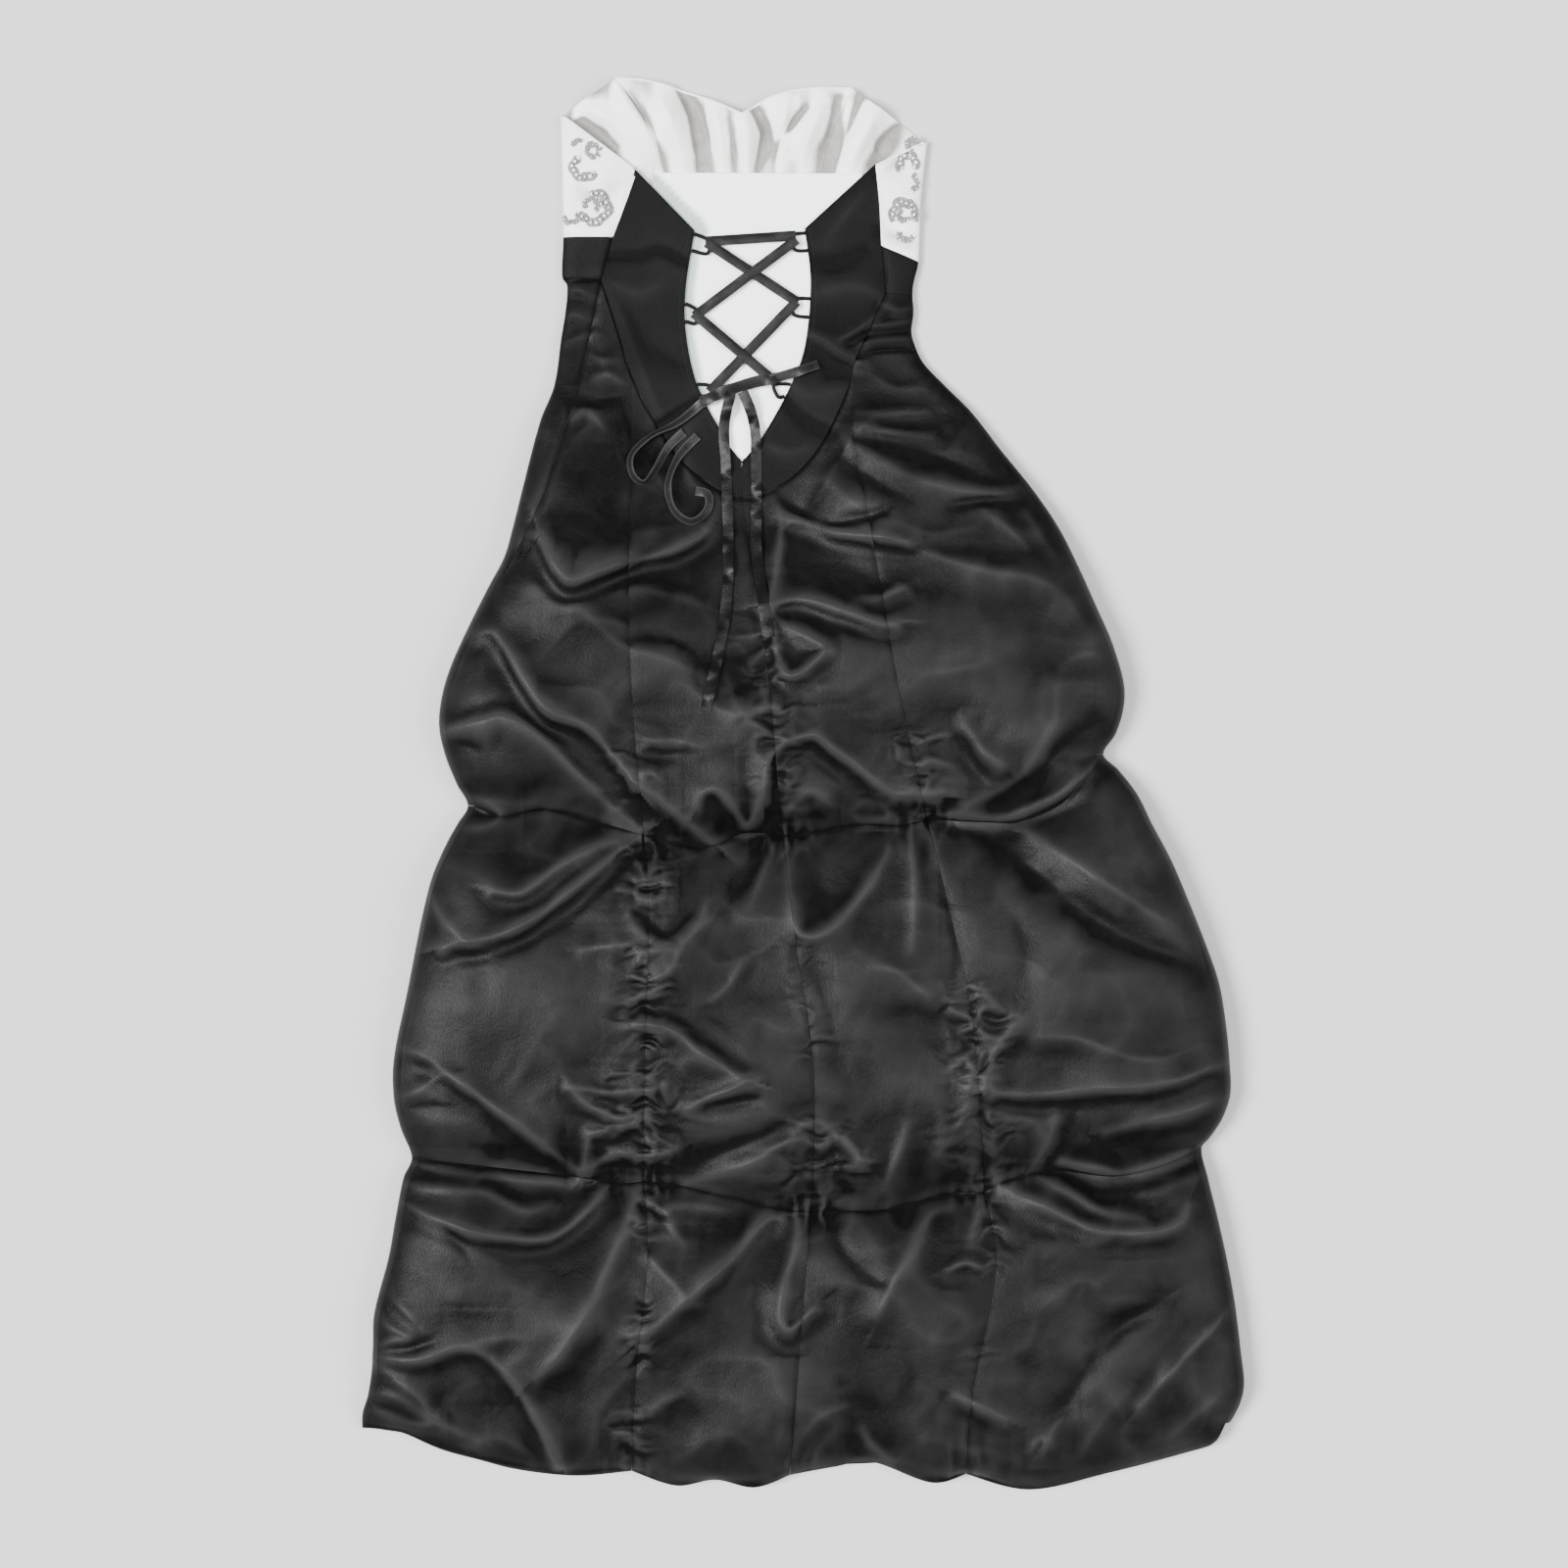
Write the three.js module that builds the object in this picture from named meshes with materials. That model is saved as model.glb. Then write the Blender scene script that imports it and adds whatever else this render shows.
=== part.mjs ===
// A strapless evening dress with a laced back and a three-tier puffed skirt,
// laid flat on its front, so that its back is up.
// Millimetres, +Z up. The neck edge points to +Y and the hem to -Y.
// Places on the dress are read on a layout: mm to the right of its left edge,
// and mm down from its top edge, seen from above.

import * as THREE from "three";

// Driving sizes
const DRESS = { length: 1436, middle: 819, top: 82 };
const CLOTH = 1.6;
const SEAM_GAP = 0.2;
const BODICE_LEVEL = 12;
const FOLD_SHARE = 0.42;
const FOLD_MOST = 16;
const BACK_ROLL = 1.6;
const FRONT_ROLL = 1.3;
const SIDE_SEAM_INSET = 8;
const FOLDS_FULL_ABOVE = 16;
const FRONT_HEM_SAG = 42;
const MODESTY = { top: 9.9, cloth: 1.5 };
const RIBBON = { width: 10, cloth: 1.1, lift: 0.5, feel: 0.62 };
const LOOP = { radius: 1.2, height: 11.7, sides: 6, steps: 9 };
const APPLIQUE = { cloth: 1.4, lift: 0.4 };
const ZIP_TAPE = { width: 4, cloth: 1, steps: 3, points: [[646, 181], [637, 207]] };

// Grid counts, in cells
const CELLS = {
  side: 9,
  sideTop: 4,
  middle: 7,
  white: 8,
  band: 3,
  midriff: 5,
  upper: 13,
  tier: 12,
  wrap: 3,
  roll: 3,
  under: 3,
  hem: 9,
  centre: 14,
};

const COLOUR = { black: "#1d1d1e", white: "#dcdad6", panel: "#eef4f4", silver: "#b8b9ba" };
const SATIN = {
  black: new THREE.MeshStandardMaterial({ color: COLOUR.black, roughness: 0.42, metalness: 0 }),
  white: new THREE.MeshStandardMaterial({ color: COLOUR.white, roughness: 0.45, metalness: 0 }),
  panel: new THREE.MeshStandardMaterial({ color: COLOUR.panel, roughness: 0.6, metalness: 0 }),
  ribbon: new THREE.MeshStandardMaterial({ color: COLOUR.black, roughness: 0.35, metalness: 0 }),
  beads: new THREE.MeshStandardMaterial({ color: COLOUR.silver, roughness: 0.2, metalness: 0.6 }),
};

// Rows of numbers as records with named columns
function table(columns, rows) {
  return rows.map((row) => Object.fromEntries(columns.map((name, i) => [name, row[i]])));
}

// The two outer folds of the dress, seen from above
const LEFT_FOLD = table(["down", "right"], [
  [118, 572], [180, 574], [243, 575], [284, 574], [292, 579], [320, 577], [345, 573],
  [394, 566], [430, 552], [500, 534], [540, 524], [570, 515], [600, 499], [640, 479],
  [680, 461], [710, 452], [740, 449], [770, 455], [800, 467], [822, 478], [840, 468],
  [860, 457], [890, 444], [930, 433], [1010, 417], [1080, 403], [1120, 403], [1150, 410],
  [1180, 421], [1200, 413], [1240, 405], [1280, 398], [1340, 383], [1380, 382], [1420, 377],
  [1440, 371], [1456, 370],
]);
const RIGHT_FOLD = table(["down", "right"], [
  [146, 946], [180, 942], [215, 939], [268, 937], [290, 932], [302, 931], [320, 932],
  [340, 930], [357, 935], [372, 943], [394, 964], [420, 990], [460, 1021], [500, 1053],
  [540, 1080], [580, 1100], [620, 1118], [660, 1135], [700, 1146], [725, 1145], [750, 1137],
  [770, 1125], [785, 1140], [810, 1159], [840, 1174], [880, 1195], [920, 1212], [960, 1228],
  [1000, 1242], [1040, 1249], [1080, 1253], [1115, 1254], [1140, 1246], [1160, 1233],
  [1170, 1225], [1200, 1231], [1240, 1241], [1290, 1252], [1330, 1259], [1380, 1265],
  [1410, 1268], [1430, 1264], [1450, 1255],
]);

// Seams that run across the back, split where the gores meet
const BASQUE = {
  sideLeft: [[614, 287], [628, 330], [645, 385]],
  left: [[645, 385], [672, 437], [705, 480], [757, 508]],
  right: [[757, 508], [800, 493], [835, 458], [864, 400], [873, 367]],
  sideRight: [[873, 367], [935, 357]],
  bodiceRight: [[873, 367], [888, 334], [903, 300]],
};
const UPPER_SEAM = {
  sideLeft: [[478, 822], [513, 833], [560, 827], [610, 838], [658, 852]],
  left: [[658, 852], [700, 862], [729, 863], [760, 850], [798, 852]],
  right: [[798, 852], [840, 848], [880, 842], [912, 842], [945, 836]],
  sideRight: [[945, 836], [1010, 839], [1040, 838], [1085, 817], [1110, 793], [1125, 770]],
};
const LOWER_SEAM = {
  sideLeft: [[421, 1180], [525, 1191], [591, 1199], [630, 1205], [658, 1203]],
  left: [[658, 1203], [700, 1208], [770, 1227], [828, 1234]],
  right: [[828, 1234], [860, 1233], [906, 1231], [958, 1217], [1003, 1214]],
  sideRight: [[1003, 1214], [1030, 1200], [1073, 1192], [1137, 1198], [1190, 1185], [1225, 1170]],
};
const HEM = {
  sideLeft: [[370, 1456], [410, 1460], [450, 1477], [490, 1488], [530, 1498], [590, 1504], [645, 1499]],
  left: [[645, 1499], [690, 1514], [730, 1508], [770, 1516], [806, 1503]],
  right: [[806, 1503], [850, 1495], [890, 1490], [950, 1511], [985, 1502]],
  sideRight: [[985, 1502], [1050, 1518], [1130, 1501], [1210, 1480], [1238, 1470], [1255, 1450]],
};

// Seams that run down the back between the gores
const GORES = {
  upper: {
    a: [[645, 385], [644, 520], [643, 620], [647, 720], [658, 852]],
    b: [[757, 508], [768, 580], [785, 700], [798, 852]],
    c: [[873, 367], [870, 440], [884, 520], [898, 600], [915, 700], [945, 836]],
  },
  middle: {
    a: [[658, 852], [664, 940], [660, 1060], [658, 1203]],
    b: [[798, 852], [812, 960], [830, 1090], [828, 1234]],
    c: [[945, 836], [965, 920], [990, 1040], [1003, 1214]],
  },
  lower: {
    a: [[658, 1203], [662, 1280], [650, 1400], [645, 1499]],
    b: [[828, 1234], [820, 1320], [806, 1503]],
    c: [[1003, 1214], [1014, 1290], [990, 1420], [985, 1502]],
  },
};

// Height of the back above the floor, from the top of each tier to its gathered foot
const PUFF = {
  upper: table(["share", "level"], [
    [0, 12], [0.12, 17], [0.3, 34], [0.55, 54], [0.78, 60], [0.92, 50], [1, 26],
  ]),
  middle: table(["share", "level"], [
    [0, 26], [0.08, 42], [0.25, 58], [0.5, 64], [0.75, 62], [0.9, 52], [1, 28],
  ]),
  lower: table(["share", "level"], [
    [0, 28], [0.1, 42], [0.3, 54], [0.6, 52], [0.85, 42], [0.95, 28], [1, 14],
  ]),
};

// The largest folds of the back: a ridge or, with a negative height, a trough,
// from one layout point over another to a third
const FOLDS = table(["from", "over", "to", "high", "wide"], [
  // upper tier
  [[557, 551], [588, 590], [724, 541], 13, 17],
  [[566, 585], [600, 615], [706, 573], -9, 18],
  [[495, 648], [563, 730], [649, 805], 12, 17],
  [[649, 805], [690, 830], [727, 858], 8, 14],
  [[470, 662], [538, 719], [570, 765], -9, 20],
  [[524, 734], [599, 801], [650, 845], 10, 15],
  [[459, 751], [491, 737], [524, 734], 6, 14],
  [[727, 858], [715, 800], [763, 846], 7, 13],
  [[781, 830], [785, 740], [830, 753], 10, 15],
  [[830, 753], [880, 775], [912, 820], 9, 16],
  [[812, 800], [840, 795], [870, 815], -7, 22],
  [[785, 505], [810, 552], [903, 551], 10, 16],
  [[903, 551], [1040, 570], [1110, 655], 10, 22],
  [[781, 500], [842, 545], [892, 526], -6, 14],
  [[783, 520], [786, 610], [805, 690], 9, 14],
  [[805, 690], [830, 700], [841, 666], 6, 12],
  [[792, 617], [840, 612], [903, 641], 8, 15],
  [[800, 632], [860, 645], [903, 685], -8, 18],
  [[860, 448], [930, 485], [1031, 509], 6, 18],
  [[856, 434], [900, 438], [946, 448], 5, 14],
  [[989, 826], [1040, 795], [1060, 750], 8, 18],
  [[1024, 832], [1090, 820], [1117, 780], 7, 13],
  [[981, 737], [1000, 760], [1010, 784], 4, 14],
  [[590, 445], [600, 425], [625, 435], 4, 12],
  // middle tier
  [[654, 853], [600, 930], [476, 965], 11, 18],
  [[647, 872], [590, 955], [476, 1008], -8, 22],
  [[654, 853], [580, 885], [508, 915], 6, 14],
  [[404, 1066], [480, 1100], [594, 1190], 8, 16],
  [[410, 1090], [500, 1130], [580, 1192], -7, 15],
  [[662, 1040], [735, 1060], [761, 1094], 9, 14],
  [[761, 1094], [735, 1110], [704, 1119], 7, 13],
  [[590, 1104], [620, 1128], [655, 1130], 8, 13],
  [[600, 1192], [600, 1145], [655, 1145], 8, 13],
  [[655, 1145], [668, 1160], [669, 1176], 6, 12],
  [[819, 1133], [747, 1169], [690, 1190], -8, 18],
  [[802, 865], [815, 975], [862, 940], 8, 15],
  [[862, 940], [895, 910], [908, 872], 6, 15],
  [[927, 854], [934, 910], [927, 967], 7, 15],
  [[968, 838], [1060, 870], [1229, 985], -10, 24],
  [[990, 832], [1090, 862], [1222, 940], 6, 26],
  [[889, 982], [915, 1000], [942, 1013], 5, 18],
  [[1017, 1111], [1120, 1122], [1240, 1090], 7, 18],
  [[1093, 1172], [1160, 1135], [1246, 1118], 8, 15],
  [[1074, 1183], [1139, 1192], [1215, 1172], 7, 13],
  [[975, 1040], [1000, 1060], [985, 1110], 6, 14],
  // lower tier
  [[430, 1190], [520, 1226], [574, 1242], 7, 13],
  [[417, 1221], [500, 1262], [595, 1238], 9, 15],
  [[651, 1212], [625, 1290], [560, 1392], 12, 24],
  [[788, 1238], [745, 1290], [664, 1355], 12, 17],
  [[814, 1242], [800, 1290], [790, 1340], 9, 15],
  [[389, 1378], [480, 1350], [532, 1410], 8, 15],
  [[532, 1410], [552, 1440], [567, 1484], 8, 14],
  [[386, 1390], [430, 1410], [438, 1438], 5, 12],
  [[966, 1232], [935, 1280], [903, 1328], 9, 16],
  [[839, 1240], [860, 1290], [895, 1307], -6, 18],
  [[1018, 1210], [1080, 1256], [1170, 1289], -7, 20],
  [[1062, 1202], [1120, 1252], [1207, 1232], 9, 15],
  [[1077, 1188], [1133, 1197], [1216, 1174], 6, 12],
  [[1250, 1336], [1190, 1390], [1151, 1437], 8, 18],
  [[1189, 1318], [1120, 1380], [1070, 1452], -7, 22],
  [[662, 1225], [668, 1330], [650, 1440], -6, 12],
]);

// Flutes that the bust of the front makes above the back, seen on its inside
const FLUTES = table(["from", "over", "to", "high", "wide"], [
  [[632, 90], [655, 125], [672, 178], 3, 9],
  [[680, 110], [695, 145], [708, 176], 3.5, 12],
  [[708, 105], [716, 140], [722, 176], -3.5, 9],
  [[750, 125], [760, 150], [762, 178], 3.5, 11],
  [[784, 112], [784, 145], [781, 178], -3.5, 8],
  [[806, 115], [795, 145], [788, 178], 3, 8],
  [[835, 125], [820, 150], [809, 178], 3.5, 12],
  [[852, 125], [845, 150], [840, 176], -3.5, 9],
  [[877, 100], [866, 140], [853, 176], 3, 9],
]);
const BUST_LIFT = table(["down", "lift"], [
  [82, 8], [110, 9], [130, 7.2], [150, 3.8], [165, 1.9], [178, 1], [200, 0.4], [243, 0],
]);
const BUST_RAMP = 70;

// A smooth line through the rows of a table
function smooth(rows, key, value, at) {
  const last = rows.length - 1;
  if (at <= rows[0][key]) return rows[0][value];
  if (at >= rows[last][key]) return rows[last][value];
  const i = rows.findIndex((row) => row[key] > at) - 1;
  const slope = (n) => {
    const before = rows[Math.max(n - 1, 0)];
    const after = rows[Math.min(n + 1, last)];
    return (after[value] - before[value]) / (after[key] - before[key]);
  };
  const span = rows[i + 1][key] - rows[i][key];
  const t = (at - rows[i][key]) / span;
  const a = 2 * t ** 3 - 3 * t ** 2 + 1;
  const b = t ** 3 - 2 * t ** 2 + t;
  const c = t ** 3 - t ** 2;
  return a * rows[i][value] + b * span * slope(i) + (1 - a) * rows[i + 1][value] + c * span * slope(i + 1);
}

const mix = (a, b, t) => a + (b - a) * t;
const clamp = (value) => Math.min(Math.max(value, 0), 1);
const ease = (t) => t * t * (3 - 2 * t);
const leftEdge = (down) => smooth(LEFT_FOLD, "down", "right", down);
const rightEdge = (down) => smooth(RIGHT_FOLD, "down", "right", down);

// A layout point and its height, as a point of the model
const placed = (right, down, z) => [right - DRESS.middle, DRESS.top + DRESS.length / 2 - down, z];

// Evenly spaced points on a smooth curve through layout points
function stretch(points, cells) {
  const corners = points.map(([right, down]) => new THREE.Vector2(right, down));
  return new THREE.SplineCurve(corners).getSpacedPoints(cells).map((p) => [p.x, p.y]);
}

// A seam across the back as rows of right and down
function seamRows(seam) {
  const others = [seam.left, seam.right, seam.sideRight].flatMap((part) => part.slice(1));
  return table(["right", "down"], [...seam.sideLeft, ...others]);
}
const SEAMS = {
  top: seamRows(BASQUE),
  upper: seamRows(UPPER_SEAM),
  lower: seamRows(LOWER_SEAM),
  hem: seamRows(HEM),
};
const TIERS = [
  { name: "upper", top: SEAMS.top, foot: SEAMS.upper },
  { name: "middle", top: SEAMS.upper, foot: SEAMS.lower },
  { name: "lower", top: SEAMS.lower, foot: SEAMS.hem },
];
const seamAt = (rows, right) => smooth(rows, "right", "down", right);

// Height of the back's outer face before its edges roll under
function levelAt(right, down) {
  if (down <= seamAt(SEAMS.top, right)) return BODICE_LEVEL;
  const tier = TIERS.find(({ foot }) => down <= seamAt(foot, right)) ?? TIERS[2];
  const top = seamAt(tier.top, right);
  const share = clamp((down - top) / (seamAt(tier.foot, right) - top));
  return smooth(PUFF[tier.name], "share", "level", share);
}

const foldHeight = (level) => Math.min(level * FOLD_SHARE, FOLD_MOST);

// How far a point lies from a fold's bent line, and how far along it
function alongFold({ from, over, to }, right, down) {
  const steps = 10;
  let best = { far: Infinity, share: 0 };
  for (let k = 0; k <= steps; k += 1) {
    const t = k / steps;
    const x = mix(mix(from[0], over[0], t), mix(over[0], to[0], t), t);
    const y = mix(mix(from[1], over[1], t), mix(over[1], to[1], t), t);
    const far = Math.hypot(right - x, down - y);
    if (far < best.far) best = { far, share: t };
  }
  return best;
}

function foldsAt(folds, right, down) {
  return folds.reduce((sum, fold) => {
    const { far, share } = alongFold(fold, right, down);
    if (far > 3 * fold.wide) return sum;
    const taper = 0.45 + 0.55 * Math.sin(Math.PI * share);
    return sum + fold.high * taper * Math.exp(-((far / fold.wide) ** 2));
  }, 0);
}

// A point on the outer face of the back, with the way its wall faces
function backPoint(right, down) {
  const level = levelAt(right, down);
  const fromLeft = Math.max(right - leftEdge(down), 0);
  const fromRight = Math.max(rightEdge(down) - right, 0);
  const side = fromLeft < fromRight ? -1 : 1;
  const middle = foldHeight(level);
  const rise = level - middle;
  const reach = level * BACK_ROLL;
  const cosine = 1 - clamp(Math.min(fromLeft, fromRight) / reach);
  const sine = Math.sqrt(1 - cosine * cosine);
  const length = Math.hypot(rise * cosine, reach * sine);
  const face = [(side * rise * cosine) / length, (reach * sine) / length];
  const share = clamp((level - BODICE_LEVEL) / FOLDS_FULL_ABOVE);
  const relief = share > 0 ? foldsAt(FOLDS, right, down) * sine * share : 0;
  return {
    at: [right + relief * face[0], down, middle + rise * sine + relief * face[1]],
    face: [face[0], 0, face[1]],
  };
}

// How far the front is lifted off the floor at the bust
function frontLift(right, down) {
  const lift = smooth(BUST_LIFT, "down", "lift", down);
  if (lift <= 0) return 0;
  const inset = Math.min(right - leftEdge(down), rightEdge(down) - right);
  const share = lift / BUST_LIFT[1].lift;
  return ease(clamp(inset / BUST_RAMP)) * Math.max(lift + foldsAt(FLUTES, right, down) * share, 0);
}

// A point on the outer, lower face of the front, at a share of the way round its rolled edge
function frontPoint(right, down, side, share) {
  const edge = side < 0 ? leftEdge(down) : rightEdge(down);
  const middle = foldHeight(levelAt(edge, down));
  const reach = middle * FRONT_ROLL;
  const angle = (share * Math.PI) / 2;
  const length = Math.hypot(middle * Math.cos(angle), reach * Math.sin(angle));
  const face = [(side * middle * Math.cos(angle)) / length, (-reach * Math.sin(angle)) / length];
  const x = share < 1 ? edge - side * reach * (1 - Math.cos(angle)) : right;
  return {
    at: [x, down, middle * (1 - Math.sin(angle)) + frontLift(x, down)],
    face: [face[0], 0, face[1]],
  };
}

// One row of a front piece: from its left seam on the back, round the left fold,
// under the dress and, where it has one, round the right fold to its right seam
function frontRow({ seamLeft, foldLeft, foldRight, seamRight, sag = 0, under = CELLS.under }) {
  const row = [];
  const leftEnd = foldLeft ?? seamLeft;
  const rightEnd = foldRight ?? seamRight;
  const downAt = (right) => {
    const share = clamp((right - leftEnd[0]) / (rightEnd[0] - leftEnd[0]));
    return mix(leftEnd[1], rightEnd[1], share) + sag * Math.sin(Math.PI * share);
  };
  if (foldLeft) {
    for (let k = 0; k < CELLS.wrap; k += 1) {
      const t = Math.sin((k / CELLS.wrap) * (Math.PI / 2));
      row.push(backPoint(mix(seamLeft[0], foldLeft[0], t), mix(seamLeft[1], foldLeft[1], t)));
    }
    for (let k = 0; k < CELLS.roll; k += 1) {
      row.push(frontPoint(foldLeft[0], foldLeft[1], -1, k / CELLS.roll));
    }
  }
  const reach = FRONT_ROLL * FOLD_MOST;
  const start = foldLeft ? foldLeft[0] + reach : seamLeft[0];
  const end = foldRight ? foldRight[0] - reach : seamRight[0];
  for (let k = 0; k <= under; k += 1) {
    const right = mix(start, end, k / under);
    row.push(frontPoint(right, downAt(right), -1, 1));
  }
  if (foldRight) {
    for (let k = CELLS.roll - 1; k >= 0; k -= 1) {
      row.push(frontPoint(foldRight[0], foldRight[1], 1, k / CELLS.roll));
    }
    for (let k = CELLS.wrap - 1; k >= 0; k -= 1) {
      const t = Math.sin((k / CELLS.wrap) * (Math.PI / 2));
      row.push(backPoint(mix(seamRight[0], foldRight[0], t), mix(seamRight[1], foldRight[1], t)));
    }
  }
  return row;
}

// Layout points spread evenly between four edges, each a list of points
function patch({ top, foot, left, right }) {
  const columns = top.length - 1;
  const rows = left.length - 1;
  return left.map((leftPoint, j) =>
    top.map((topPoint, i) => {
      const u = i / columns;
      const v = j / rows;
      return [0, 1].map(
        (axis) =>
          mix(topPoint[axis], foot[i][axis], v) +
          mix(leftPoint[axis], right[j][axis], u) -
          mix(mix(top[0][axis], top[columns][axis], u), mix(foot[0][axis], foot[columns][axis], u), v),
      );
    }),
  );
}

// Moves the border of a grid of points a little inwards, so that neighbours stay apart
function insetBorder(grid) {
  const rows = grid.length - 1;
  const columns = grid[0].length - 1;
  const shift = (point, towards) => {
    const way = point.map((value, axis) => towards[axis] - value);
    const share = SEAM_GAP / Math.max(Math.hypot(...way), SEAM_GAP);
    return point.map((value, axis) => value + way[axis] * share);
  };
  const across = grid.map((row) =>
    row.map((point, i) => {
      if (i === 0) return shift(point, row[1]);
      return i === columns ? shift(point, row[columns - 1]) : point;
    }),
  );
  return across.map((row, j) =>
    row.map((point, i) => {
      if (j === 0) return shift(point, across[1][i]);
      return j === rows ? shift(point, across[rows - 1][i]) : point;
    }),
  );
}

// Signed volume of a closed mesh
function volumeOf(points, faces) {
  let volume = 0;
  for (let k = 0; k < faces.length; k += 3) {
    const [a, b, c] = [points[faces[k]], points[faces[k + 1]], points[faces[k + 2]]];
    volume += a[0] * (b[1] * c[2] - b[2] * c[1]);
    volume += a[1] * (b[2] * c[0] - b[0] * c[2]);
    volume += a[2] * (b[0] * c[1] - b[1] * c[0]);
  }
  return volume / 6;
}

// A wall of cloth between an outer and an inner grid of points
function wallBetween(outer, inner) {
  const rows = outer.length;
  const columns = outer[0].length;
  const points = [...outer.flat(), ...inner.flat()].map(([right, down, z]) => placed(right, down, z));
  const outside = (i, j) => j * columns + i;
  const inside = (i, j) => rows * columns + outside(i, j);
  const faces = [];
  const quad = (a, b, c, d) => faces.push(a, b, c, a, c, d);
  for (let j = 0; j < rows - 1; j += 1) {
    for (let i = 0; i < columns - 1; i += 1) {
      quad(outside(i, j), outside(i + 1, j), outside(i + 1, j + 1), outside(i, j + 1));
      quad(inside(i, j), inside(i, j + 1), inside(i + 1, j + 1), inside(i + 1, j));
    }
  }
  for (let i = 0; i < columns - 1; i += 1) {
    quad(outside(i, 0), inside(i, 0), inside(i + 1, 0), outside(i + 1, 0));
    quad(outside(i, rows - 1), outside(i + 1, rows - 1), inside(i + 1, rows - 1), inside(i, rows - 1));
  }
  for (let j = 0; j < rows - 1; j += 1) {
    quad(outside(0, j), outside(0, j + 1), inside(0, j + 1), inside(0, j));
    const last = columns - 1;
    quad(outside(last, j), inside(last, j), inside(last, j + 1), outside(last, j + 1));
  }
  if (volumeOf(points, faces) < 0) faces.reverse();
  const geometry = new THREE.BufferGeometry();
  geometry.setAttribute("position", new THREE.Float32BufferAttribute(points.flat(), 3));
  geometry.setIndex(faces);
  geometry.computeVertexNormals();
  return geometry;
}

// A wall of cloth from a grid of outer points that know which way they face
function wall(grid, cloth = CLOTH) {
  const outer = grid.map((row) => row.map(({ at }) => at));
  const behind = ({ at, face }) => at.map((value, axis) => value - cloth * face[axis]);
  const inner = grid.map((row) => row.map(behind));
  const both = insetBorder(outer.map((row, j) => row.map((point, i) => [...point, ...inner[j][i]])));
  return wallBetween(
    both.map((row) => row.map((p) => p.slice(0, 3))),
    both.map((row) => row.map((p) => p.slice(3))),
  );
}

const garment = new THREE.Group();
function add(name, geometry, material) {
  const mesh = new THREE.Mesh(geometry, material.clone());
  mesh.name = name;
  garment.add(mesh);
  return mesh;
}

// The side seams, as lists of points shared by the pieces on both sides
const SIDE_SEAM = {
  whiteLeft: stretch([[648, 175], [640, 205], [626, 243]], CELLS.white),
  bandLeft: stretch([[626, 243], [614, 287]], CELLS.band),
  midriffLeft: stretch([[614, 287], [601, 350], [590, 394]], CELLS.midriff),
  whiteRight: stretch([[893, 170], [897, 210], [899, 252]], CELLS.white),
  bandRight: stretch([[899, 252], [903, 300]], CELLS.band),
  midriffRight: stretch(BASQUE.bodiceRight, CELLS.midriff).reverse(),
};

// Points down one outer fold between two stations
function foldPoints(edge, from, to, cells) {
  return Array.from({ length: cells + 1 }, (_, j) => {
    const down = mix(from, to, j / cells);
    return [edge(down), down];
  });
}

// Where the skirt's right side seam meets the line of the midriff's lower edge
const TUCK = (() => {
  const [[fromRight, fromDown], [toRight, toDown]] = BASQUE.sideRight;
  const right = toRight - SIDE_SEAM_INSET;
  return [right, mix(fromDown, toDown, (right - fromRight) / (toRight - fromRight))];
})();

// The folds of the skirt's tiers, and the side seams that lie just inside them
const WRAP_SEAM = table(["down", "right"], [[394, 590], [450, 575], [505, 558], [548, 538], [585, 518]]);
function tierSides(name) {
  const span = {
    upper: { left: [394, 822], right: [357, 770], cells: CELLS.upper },
    middle: { left: [822, 1180], right: [770, 1170], cells: CELLS.tier },
    lower: { left: [1180, 1456], right: [1170, 1450], cells: CELLS.tier },
  }[name];
  const cells = span.cells;
  const foldLeft = foldPoints(leftEdge, ...span.left, cells);
  const foldRight = foldPoints(rightEdge, ...span.right, cells);
  const seamLeft = foldLeft.map(([right, down]) => {
    const inset = right + SIDE_SEAM_INSET;
    const wrapped = name === "upper" && down < 585 ? smooth(WRAP_SEAM, "down", "right", down) : inset;
    return [Math.max(inset, wrapped), down];
  });
  const seamRight = foldRight.map(([right, down]) => [right - SIDE_SEAM_INSET, down]);
  if (name === "upper") seamRight[0] = TUCK;
  return { foldLeft, foldRight, seamLeft, seamRight, cells };
}

// The seam across a side gore ends at the side seam and not at the fold
function trimmed(points, cells, end, at) {
  const way = at === "start" ? 1 : -1;
  const inner = points.filter(([right]) => (right - end[0]) * way > SIDE_SEAM_INSET);
  return stretch(at === "start" ? [end, ...inner] : [...inner, end], cells);
}

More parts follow.
